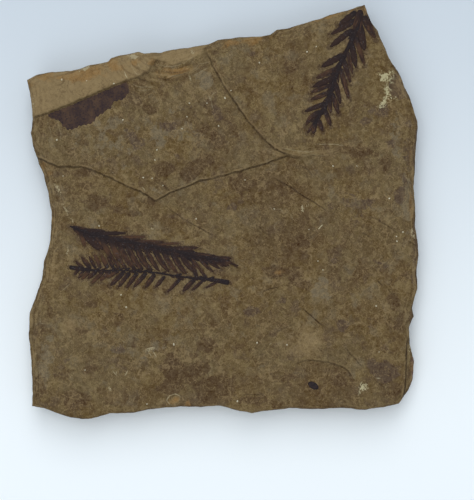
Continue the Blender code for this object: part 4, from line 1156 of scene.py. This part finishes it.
x0, y0, half_x, half_y, turn = SEED
seed_rings = dome_rings([x0], [y0], [half_x], [half_y], [math.radians(turn)], [SEED_RISE], SEED_SINK)
seed = add_domes("pressed_seed", seed_rings, "seed")
random = np.random.default_rng(701)
x0, y0, size = np.array(GRAINS).T
stretch = random.uniform(0.75, 1.2, len(size))
turns = random.uniform(0, math.pi, len(size))
grain_rings = dome_rings(x0, y0, size * stretch, size / stretch, turns, size * GRAIN_RISE, GRAIN_SINK)
grains = add_domes("sand_grains", grain_rings, None)

# %% [markdown]
# ## Writing finishes as sums
#
# A material is a graph of nodes, but its maths reads best as a line of Python. A small class wraps a
# socket: adding, multiplying or comparing two of them adds the Math node that works it out.

# %% A socket that can be used in sums
class Wire:
    """An output socket of a finish, or anything worked out from one."""

    def __init__(self, finish, socket):
        self.finish = finish
        self.socket = socket

    def sum(self, operation, *others):
        sockets = dict(enumerate(others))
        return self.finish.node("Math", {"operation": operation}, sockets)

    def __add__(self, other):
        return self.sum("ADD", self, other)

    def __sub__(self, other):
        return self.sum("SUBTRACT", self, other)

    def __rsub__(self, other):
        return self.sum("SUBTRACT", other, self)

    def __mul__(self, other):
        return self.sum("MULTIPLY", self, other)

    def __truediv__(self, other):
        return self.sum("DIVIDE", self, other)

    def __abs__(self):
        return self.sum("ABSOLUTE", self)

    def upto(self, other):
        return self.sum("MAXIMUM", self, other)

    __radd__ = __add__
    __rmul__ = __mul__

    def between(self, low, high):
        """0 at low and 1 at high, with an easy slope between."""
        sockets = {"Value": self, "From Min": low, "From Max": high}
        return self.finish.node("MapRange", {"interpolation_type": "SMOOTHSTEP"}, sockets)


class Finish:
    """A material whose nodes are added one by one and whose shader is set at the end."""

    def __init__(self, name):
        self.material = bpy.data.materials.new(name)
        self.material.use_nodes = True
        self.tree = self.material.node_tree
        self.shader = self.tree.nodes["Principled BSDF"]

    def node(self, kind, settings=None, sockets=None, out=0):
        """Add a node of a type: its settings first, then the values or wires of its sockets."""
        made = self.tree.nodes.new("ShaderNode" + kind)
        for key, value in (settings or {}).items():
            setattr(made, key, value)
        for key, value in (sockets or {}).items():
            self.feed(made.inputs[key], value)
        return Wire(self, made.outputs[out])

    def feed(self, socket, value):
        if isinstance(value, Wire):
            self.tree.links.new(value.socket, socket)
        else:
            socket.default_value = value

    def value(self, name):
        """A value that is stored on the mesh's vertices."""
        return self.node("Attribute", {"attribute_name": name}, out="Fac")

    def vector(self, operation, first, second):
        """Two vectors added, subtracted or multiplied, or a vector scaled by a number."""
        sockets = {0: first, "Scale" if operation == "SCALE" else 1: second}
        return self.node("VectorMath", {"operation": operation}, sockets)

    def bump(self, height, strength, distance):
        """The slope of a height as tipped light; the distance that a height of 1 stands for is in mm."""
        return self.node("Bump", {}, {"Strength": strength, "Distance": distance * MM, "Height": height})

    def noise(self, place, size, detail=3.0, roughness=0.5, field=0.0, stretch=None, out=0):
        """Noise from 0 to 1 with lumps of the given size in millimetres; each field is another noise."""
        if stretch:
            place = self.vector("MULTIPLY", place, stretch)
        sockets = {"Vector": place, "W": field, "Scale": 1 / (size * MM)}
        sockets |= {"Detail": detail, "Roughness": roughness}
        return self.node("TexNoise", {"noise_dimensions": "4D"}, sockets, out)

    def warped(self, place, size, reach, field):
        """The same place pushed to and fro by noise, so that what reads it turns ragged."""
        push = self.noise(place, size, 4.0, 0.75, field, out="Color")
        centred = self.vector("SUBTRACT", push, (0.5, 0.5, 0.5))
        return self.vector("ADD", place, self.vector("SCALE", centred, reach * MM))

    def flakes(self, place, size, field):
        """A random value from 0 to 1 for each flake of a mosaic."""
        sockets = {"Vector": place, "W": field, "Scale": 1 / (size * MM)}
        cells = self.node("TexVoronoi", {"voronoi_dimensions": "4D"}, sockets, "Color")
        return self.node("SeparateColor", {}, {0: cells})

    def mix(self, share, first, second, blend="MIX"):
        """One colour turning into another."""
        settings = {"data_type": "RGBA", "blend_type": blend, "clamp_factor": True}
        return self.node("Mix", settings, {0: share, 6: first, 7: second}, out=2)

    def over(self, tone, *coats):
        """Coats laid over a tone one after another, each a share from 0 to 1 and a colour."""
        for share, coat in coats:
            tone = self.mix(share, tone, coat)
        return tone

    def shine(self, **sockets):
        for key, value in sockets.items():
            self.feed(self.shader.inputs[key.replace("_", " ")], value)


def colour(red, green, blue):
    return (red, green, blue, 1.0)


# %% [markdown]
# ## The mudstone
#
# The stone's ground is olive brown. Over it go, from the broadest to the finest: slow drifts of brown
# and grey green, flakes, the tints stored on the vertices with their edges broken by noise, the paler
# top band, the layers that show on broken edges, painted shade round the leaflets, worm-like threads,
# powder and crusts, cracks with painted shade at the feet of ledges and a painted highlight on their
# crests, and a fine grain. One picture could hold all that, but nodes stay sharp at any distance. Each
# step is a function that takes the tone so far and gives the new one. The same noises drive the bump,
# because what looks grainy is also rough.

# %% Tones of the stone
OLIVE = colour(0.116, 0.075, 0.029)
MOSS = colour(0.125, 0.089, 0.043)
BARK = colour(0.082, 0.049, 0.023)
STRAW = colour(0.205, 0.150, 0.070)
UMBER = colour(0.072, 0.043, 0.022)
RUSSET = colour(0.066, 0.036, 0.017)
PLUM = colour(0.082, 0.055, 0.037)
SAGE = colour(0.156, 0.125, 0.078)
ROSE = colour(0.200, 0.120, 0.090)
TAN = colour(0.250, 0.178, 0.088)
RUST = colour(0.245, 0.135, 0.045)
CHALK = colour(0.400, 0.345, 0.215)
CREAM_TONE = colour(0.470, 0.430, 0.255)
LEAFLET_SHADE_TONE = colour(0.050, 0.031, 0.021)
# Cracks and the painted shade at the feet of ledges share this tone.
CRACK_AND_SHADE_TONE = colour(0.033, 0.019, 0.010)
BACK_TONE = colour(0.150, 0.112, 0.064)
GRAIN_TONE = colour(0.126, 0.100, 0.062)


def stain(finish, name, ragged, low=0.32, high=0.46):
    """A tint's share: its stored value, torn by noise, and nothing where nothing is stored."""
    stored = finish.value(name)
    return (stored + ragged).between(low, high) * stored.between(0.02, 0.22)


def hairlines(finish, place, size, width, field, low=0.46, high=0.56):
    """Thin wandering lines: where a noise passes through its middle value, in places only."""
    middle = abs(finish.noise(place, size, 2.0, 0.55, field) - 0.5)
    here = finish.noise(place, size * 1.3, 2.0, 0.5, field + 3.0)
    return (1 - middle.between(0.0, width)) * here.between(low, high)


def drawn_lines(finish, names, width):
    """Lines drawn from their stored distances: full on the line, nothing a width away from it."""
    total = None
    for name in names:
        drawn = (1 - abs(finish.value(name)).between(width * 0.3, width)) * finish.value(name + "_near")
        total = drawn if total is None else total.upto(drawn)
    return total


# %% The noises that the steps share
Stone = namedtuple("Stone", "place torn slow blotch speck cloud fleck fine dust large small ragged")


def stone_noises(finish):
    """Noises from the broadest drift to the finest grain, two mosaics of flakes, and their mix that
    tears the edges of stains."""
    place = finish.node("TexCoord", out="Object")
    torn = finish.warped(place, 1.8, 3.4, 60.0)
    slow = finish.noise(place, 11.0, 3.0, 0.5, 1.0)
    blotch = finish.noise(torn, 3.4, 6.0, 0.62, 2.0)
    speck = finish.noise(torn, 2.2, 6.0, 0.66, 3.0)
    cloud = finish.noise(torn, 5.0, 6.0, 0.62, 4.0)
    fleck = finish.noise(torn, 1.3, 4.0, 0.6, 10.0)
    fine = finish.noise(place, 0.9, 4.0, 0.8, 5.0)
    dust = finish.noise(place, 0.36, 3.0, 0.8, 6.0)
    large = finish.flakes(torn, 3.4, 0.0)
    small = finish.flakes(torn, 1.5, 7.0)
    ragged = (blotch - 0.5) * 2.1 + (fleck - 0.5) * 0.9 + (fine - 0.5) * 0.25
    return Stone(place, torn, slow, blotch, speck, cloud, fleck, fine, dust, large, small, ragged)


# %% Ground and tints
def ground_tone(finish, stone):
    """Olive to moss, flaked, blotched and clouded, then the stored tints with their torn edges."""
    ragged = stone.ragged
    tone = finish.over(
        finish.mix(stone.slow.between(0.38, 0.62), OLIVE, MOSS),
        (stone.large.between(0.35, 0.95) * 0.34, BARK),
        (stone.small.between(0.50, 0.95) * 0.30, STRAW),
        (stone.blotch.between(0.55, 0.585) * 0.55, BARK),
        (stone.speck.between(0.555, 0.59) * 0.50, STRAW),
        (stone.cloud.between(0.52, 0.66) * 0.55, SAGE),
        (stone.cloud.between(0.46, 0.34) * 0.55, PLUM),
        (stone.fleck.between(0.40, 0.34) * 0.55, UMBER),
        (stain(finish, "tan", ragged * 0.6, 0.1, 0.9) * 0.7, TAN),
        (finish.value("lens") * (0.42 + ragged * 0.35), RUSSET),
        (stain(finish, "veil", ragged * 0.4, 0.1, 0.9) * 0.5, UMBER),
    )
    patches = (("sage", SAGE, 0.75), ("umber", UMBER, 0.70), ("plum", PLUM, 0.8), ("rose", ROSE, 0.7))
    for name, shade, most in patches:
        tone = finish.mix(stain(finish, name, ragged * 0.6, 0.35, 0.46) * most, tone, shade)
    return finish.over(
        tone,
        (finish.value("band") * (0.80 + ragged * 0.25), TAN),
        (stain(finish, "rust", ragged, 0.15, 0.65) * 0.7, RUST),
    )


# %% [markdown]
# ### Broken edges
#
# Where the stone broke across its sheets, the edge shows them as layers. Where it broke like glass,
# streaks run round the blow. Both could be modelled, with far more faces. Instead a noise is stretched
# along the stored distance from the outline, or from the blow, and gives tone and relief alike.

# %% Rim, broken edge and back
def edge_tone(finish, stone, along, tone):
    """Streaks along the worn rim, layers on the broken edge and a plainer back; also their relief."""
    rim, side = finish.value("rim"), finish.value("side")
    across = finish.node("CombineXYZ", {}, {0: finish.value("inset") * MM})
    flaking = finish.noise(finish.vector("ADD", across, along), 0.8, 4.0, 0.7, 7.0)
    buckled = finish.warped(stone.place, 2.5, 0.9, 70.0)
    layers = finish.noise(buckled, 3.0, 4.0, 0.6, 8.0, stretch=(0.5, 0.5, 6.0))
    edge = finish.over(
        finish.mix(layers.between(0.42, 0.58), BARK, TAN),
        (stone.small.between(0.5, 0.9) * 0.35, PLUM), (stone.fine.between(0.45, 0.8) * 0.4, RUST),
    )
    back = finish.over(
        finish.mix(stone.slow.between(0.35, 0.65), BACK_TONE, BARK),
        (stone.large.between(0.5, 0.9) * 0.5, UMBER), (stone.small.between(0.6, 0.9) * 0.4, TAN),
        (stone.cloud.between(0.54, 0.62) * 0.5, RUST),
    )
    tone = finish.over(
        tone,
        (rim * (flaking.between(0.50, 0.56) * 0.6), BARK),
        (rim * flaking.between(0.50, 0.43) * 0.75, TAN),
        (side * (0.45 + stone.blotch.between(0.40, 0.60) * 0.35), edge),
        (finish.value("back"), back),
    )
    return tone, layers * side * 1.6 + rim * flaking


def shell_tone(finish, along, tone):
    """Light and dark streaks round each blow where the stone broke like glass; also their relief."""
    arc = finish.node("CombineXYZ", {}, {0: finish.value("arc") * MM})
    streaks = finish.noise(finish.vector("ADD", arc, along), 0.9, 3.0, 0.6, 9.0)
    shelly = finish.value("shell")
    light, dark = streaks.between(0.50, 0.62), streaks.between(0.48, 0.38)
    tone = finish.over(tone, (shelly * light * 0.55, TAN), (shelly * dark * 0.55, BARK))
    return tone, shelly * streaks


# %% [markdown]
# ### What lies on the stone
#
# Painted shade darkens the stone between the leaflets, worm-like threads wander over it, and there are
# patches of powder and cream crust. Each small thread could be drawn, but no single one matters, so a
# noise makes them: a thread runs where the noise passes through its middle value.

# %% Painted shade by the leaflets, threads, powder and crust
def crust_tone(finish, stone, tone):
    """Painted leaflet shade, light and dark worm-like threads, pale powder and fibres, cream crust."""
    # Painted shade round and between the leaflets.
    leaflet_shade_share = (finish.value("leaflet_shade") + stone.ragged * 0.4).between(0.25, 0.85) * 0.6
    pale_worms = hairlines(finish, stone.torn, 1.7, 0.03, 30.0, 0.38, 0.46)
    pale_lines = hairlines(finish, stone.torn, 6.0, 0.02, 20.0).upto(pale_worms)
    dark_worms = hairlines(finish, stone.torn, 1.5, 0.03, 50.0, 0.38, 0.46)
    dark_lines = hairlines(finish, stone.torn, 5.0, 0.016, 40.0).upto(dark_worms * 0.7)
    fine, dust = stone.fine - 0.5, stone.dust - 0.5
    powder = stain(finish, "dust", dust * 2.2 + fine * 1.2, 0.40, 0.62)
    threads = drawn_lines(finish, PALE_LINES, 0.20)
    pale = (powder * 0.6).upto(threads * threads * stone.fine.between(0.30, 0.55) * 0.75)
    cream = stain(finish, "cream", (stone.fleck - 0.5) * 1.4 + fine * 2.6 + dust * 2.6, 0.28, 0.74)
    return finish.over(
        tone, (leaflet_shade_share, LEAFLET_SHADE_TONE), (pale_lines * 0.55, TAN), (dark_lines * 0.60, UMBER),
        (pale, CHALK), (cream * 0.75, CREAM_TONE),
    )


# %% [markdown]
# ### Cracks and ledges
#
# The foot of a ledge is painted dark as shade and its crest pale as a highlight. The relief alone
# shows that faintly under a soft light, so both are painted as lines at the stored distance.

# %% Cracks and ledges
def ledge_tone(finish, stone, tone):
    """Cracks, painted ledge shade and crest highlights, a dark outline; also the lines."""
    patchy = stone.cloud.between(0.35, 0.6) * 0.4 + 0.6
    lines = drawn_lines(finish, DARK_LINES, 0.26) * 0.8
    # Painted shade along the foot of each ledge, drawn in one dark tone with the cracks.
    for name in LEDGE_SETS:
        foot = 1 - abs(finish.value(name) + 0.12).between(0.04, 0.36)
        lines = lines.upto(foot * finish.value(name + "_near"))
    outline = (1 - finish.value("inset").between(0.05, 0.35)) * (1 - finish.value("back"))
    lines = (lines * patchy).upto(outline * 0.4)
    tone = finish.mix(lines * 0.85, tone, CRACK_AND_SHADE_TONE)
    # A painted highlight along the crest of each ledge.
    for name in LEDGE_SETS:
        crest = (1 - abs(finish.value(name) - 0.32).between(0.05, 0.35)) * finish.value(name + "_near")
        tone = finish.mix(crest * patchy * stone.blotch.between(0.40, 0.55) * 0.6, tone, TAN)
    return tone, lines


# %% All the steps together
def mudstone():
    finish = Finish("mudstone")
    stone = stone_noises(finish)
    along = finish.vector("MULTIPLY", stone.place, (0.14, 0.14, 0.0))
    tone, edge_relief = edge_tone(finish, stone, along, ground_tone(finish, stone))
    tone, shell_relief = shell_tone(finish, along, tone)
    tone, lines = ledge_tone(finish, stone, crust_tone(finish, stone, tone))
    rough = (stone.fine - 0.5) * 1.25 + (stone.dust - 0.5) * 1.3
    rough = rough * (1 - finish.value("band") * 0.45)
    tone = finish.mix(1.0, tone, finish.vector("SCALE", GRAIN_TONE[:3], rough), "ADD")
    height = stone.fine * 0.7 + stone.dust * 0.3 + stone.blotch * 0.8
    height = height + stone.large * 0.25 + stone.small * 0.15
    height = height + edge_relief - lines * 0.8 + shell_relief
    bump = finish.bump(height, 1.0, 0.13)
    roughness = 0.75 + stone.fine * 0.2
    finish.shine(Base_Color=tone, Roughness=roughness, Normal=bump, Specular_IOR_Level=0.08)
    return finish.material


slab.data.materials.append(mudstone())
print("mudstone nodes:", len(slab.data.materials[0].node_tree.nodes))

# %% [markdown]
# ## The coal films
#
# A pressed leaflet is aubergine black where the coal is thick, at its foot and along its edges, and red
# brown where it is thin. Stems are darker still. Coal has a slight sheen where the film is whole.

# %% Twig, leaf, seed and sand
NIGHT = colour(0.016, 0.013, 0.015)
AUBERGINE = colour(0.030, 0.017, 0.014)
LIVER = colour(0.074, 0.038, 0.021)
GLINT = colour(0.105, 0.098, 0.102)
LEAF_DARK = colour(0.040, 0.025, 0.024)
LEAF_THIN = colour(0.088, 0.052, 0.033)


def coal():
    finish = Finish("coal_film")
    place = finish.node("TexCoord", out="Object")
    patchy = finish.noise(place, 1.5, 3.0)
    fine = finish.noise(place, 0.4, 3.0, 0.6)
    across, along, woody = (finish.value(name) for name in ("across", "along", "woody"))
    sockets = {0: across * MM * 0.6, 1: along * MM, 2: finish.value("brown") * MM * 20}
    blade = finish.node("CombineXYZ", {}, sockets)
    streaks = finish.noise(blade, 0.3, 3.0, 0.6)
    brown = finish.value("brown")
    thin = brown + (patchy - 0.5) * 1.2 + (streaks - 0.5) * 2.6 - woody
    old = (woody * 0.75).upto((0 - brown).between(0.1, 0.9) * 0.8)
    old = old.upto((1 - along.between(0.05, 0.50)) * 0.8)
    margin = abs(across).between(0.60, 0.95) * patchy.between(0.30, 0.55)
    # The pale specks of the last coat are painted glints.
    tone = finish.over(
        finish.mix(thin.between(0.05, 0.75), AUBERGINE, LIVER),
        (old * patchy.between(0.25, 0.50), NIGHT), (margin * 0.6, NIGHT),
        (fine.between(0.56, 0.72) * 0.55, GLINT),
    )
    bump = finish.bump(fine + patchy + streaks, 0.8, 0.05)
    finish.shine(Base_Color=tone, Roughness=0.50 + fine * 0.25, Normal=bump, Specular_IOR_Level=0.07)
    return finish.material


def leaf_coal():
    finish = Finish("leaf_film")
    place = finish.node("TexCoord", out="Object")
    patchy = finish.noise(place, 2.4, 4.0, 0.6)
    fine = finish.noise(place, 0.5, 3.0, 0.6)
    tone = finish.over(
        finish.mix(patchy.between(0.38, 0.72), LEAF_DARK, LEAF_THIN),
        (fine.between(0.52, 0.64) * 0.6, UMBER), (fine.between(0.46, 0.36) * 0.7, NIGHT),
        ((1 - finish.value("veins").between(0.0, 0.15)) * 0.25, NIGHT),
    )
    bump = finish.bump(fine + patchy, 0.7, 0.04)
    finish.shine(Base_Color=tone, Roughness=0.55 + fine * 0.25, Normal=bump, Specular_IOR_Level=0.07)
    return finish.material


def seed_coal():
    finish = Finish("seed_film")
    place = finish.node("TexCoord", out="Object")
    fine = finish.noise(place, 0.5, 3.0, 0.6)
    tone = finish.mix(fine.between(0.4, 0.7), NIGHT, LEAF_DARK)
    bump = finish.bump(fine, 0.6, 0.04)
    finish.shine(Base_Color=tone, Roughness=0.48 + fine * 0.2, Normal=bump, Specular_IOR_Level=0.08)
    return finish.material


def quartz():
    finish = Finish("sand")
    place = finish.node("TexCoord", out="Object")
    fine = finish.noise(place, 1.5, 2.0)
    tone = finish.mix(fine.between(0.35, 0.65), colour(0.50, 0.46, 0.33), colour(0.34, 0.29, 0.19))
    finish.shine(Base_Color=tone, Roughness=0.35 + fine * 0.2, Specular_IOR_Level=0.5)
    return finish.material


right_coal = coal()
for piece, film in (
    (right_twig, right_coal), (left_twigs, right_coal), (leaf, leaf_coal()), (seed, seed_coal()),
    (grains, quartz()),
):
    piece.data.materials.append(film)

# %% [markdown]
# ## Floor, light and camera
#
# The slab lies on its back on a pale floor, and the camera looks straight down on it. The light comes
# softly from beyond the top edge, so that each riser that faces down the picture is in shade. That
# low side light is what makes half a millimetre of relief readable.

# %% A pale floor
FLOOR_HALF = 1.5


def pale_floor():
    finish = Finish("pale_floor")
    place = finish.node("TexCoord", out="Object")
    cloud = finish.noise(place, 400.0, 2.0) * 0.1
    up = finish.node("SeparateXYZ", {}, {0: place}, out=1)
    # Painted shade: the floor turns darker from the slab's lower edge to beyond its top edge.
    floor_shade = (up + cloud * 0.02).between(SLAB_LOW.y - 0.01, SLAB_HIGH.y + 0.02)
    tone = finish.mix(floor_shade, colour(0.86, 0.91, 0.94), colour(0.575, 0.635, 0.695))
    finish.shine(Base_Color=tone, Roughness=0.9, Specular_IOR_Level=0.1)
    return finish.material


floor_mesh = bpy.data.meshes.new("floor")
floor_corners = [(-1, -1, 0), (1, -1, 0), (1, 1, 0), (-1, 1, 0)]
floor_mesh.from_pydata([Vector(corner) * FLOOR_HALF for corner in floor_corners], [], [(0, 1, 2, 3)])
floor_mesh.materials.append(pale_floor())
floor = bpy.data.objects.new("floor", floor_mesh)
bpy.context.collection.objects.link(floor)


# %% Lights
def soft_light(name, place, aim, size, power, tone):
    """A square soft light at a place in metres, turned to its aim."""
    data = bpy.data.lights.new(name, "AREA")
    data.size = size
    data.energy = power
    data.color = tone
    light = bpy.data.objects.new(name, data)
    light.location = place
    light.rotation_euler = (Vector(aim) - Vector(place)).to_track_quat("-Z", "Y").to_euler()
    bpy.context.collection.objects.link(light)


soft_light("window", (0.05, 1.30, 1.25), (0, 0, 0), 1.0, 8.5, (0.97, 0.99, 1.0))
soft_light("ceiling", (-0.15, 0.30, 1.60), (0, 0, 0), 1.2, 11.5, (0.97, 0.99, 1.0))
soft_light("lamp", (-0.5, -0.9, 1.1), (0, 0, 0), 1.0, 4.0, (0.96, 0.98, 1.0))
world = bpy.data.worlds.new("room")
bpy.context.scene.world = world
world.use_nodes = True
world.node_tree.nodes["Background"].inputs["Color"].default_value = (0.88, 0.94, 1.0, 1.0)
world.node_tree.nodes["Background"].inputs["Strength"].default_value = 0.45
bpy.context.scene.view_settings.view_transform = "Standard"

# %% Camera
PIXELS_PER_MM = 4.0
IMAGE_SIZE = (474, 500)
SLAB_CORNER_PIXEL = (27, 420)
LENS = 85.0
SENSOR = 24.0
view_height = IMAGE_SIZE[1] / PIXELS_PER_MM * MM
aim_x = SLAB_LOW.x + (IMAGE_SIZE[0] / 2 - SLAB_CORNER_PIXEL[0]) / PIXELS_PER_MM * MM
aim_y = SLAB_LOW.y + (SLAB_CORNER_PIXEL[1] - IMAGE_SIZE[1] / 2) / PIXELS_PER_MM * MM
camera_data = bpy.data.cameras.new("camera")
camera_data.sensor_fit = "VERTICAL"
camera_data.sensor_height = SENSOR
camera_data.lens = LENS
camera_data.clip_start = 0.01
camera = bpy.data.objects.new("camera", camera_data)
camera.location = (aim_x, aim_y, FACE_LEVEL * MM + view_height * LENS / SENSOR)
bpy.context.collection.objects.link(camera)
bpy.context.scene.camera = camera
print("camera, m:", [round(value, 3) for value in camera.location])
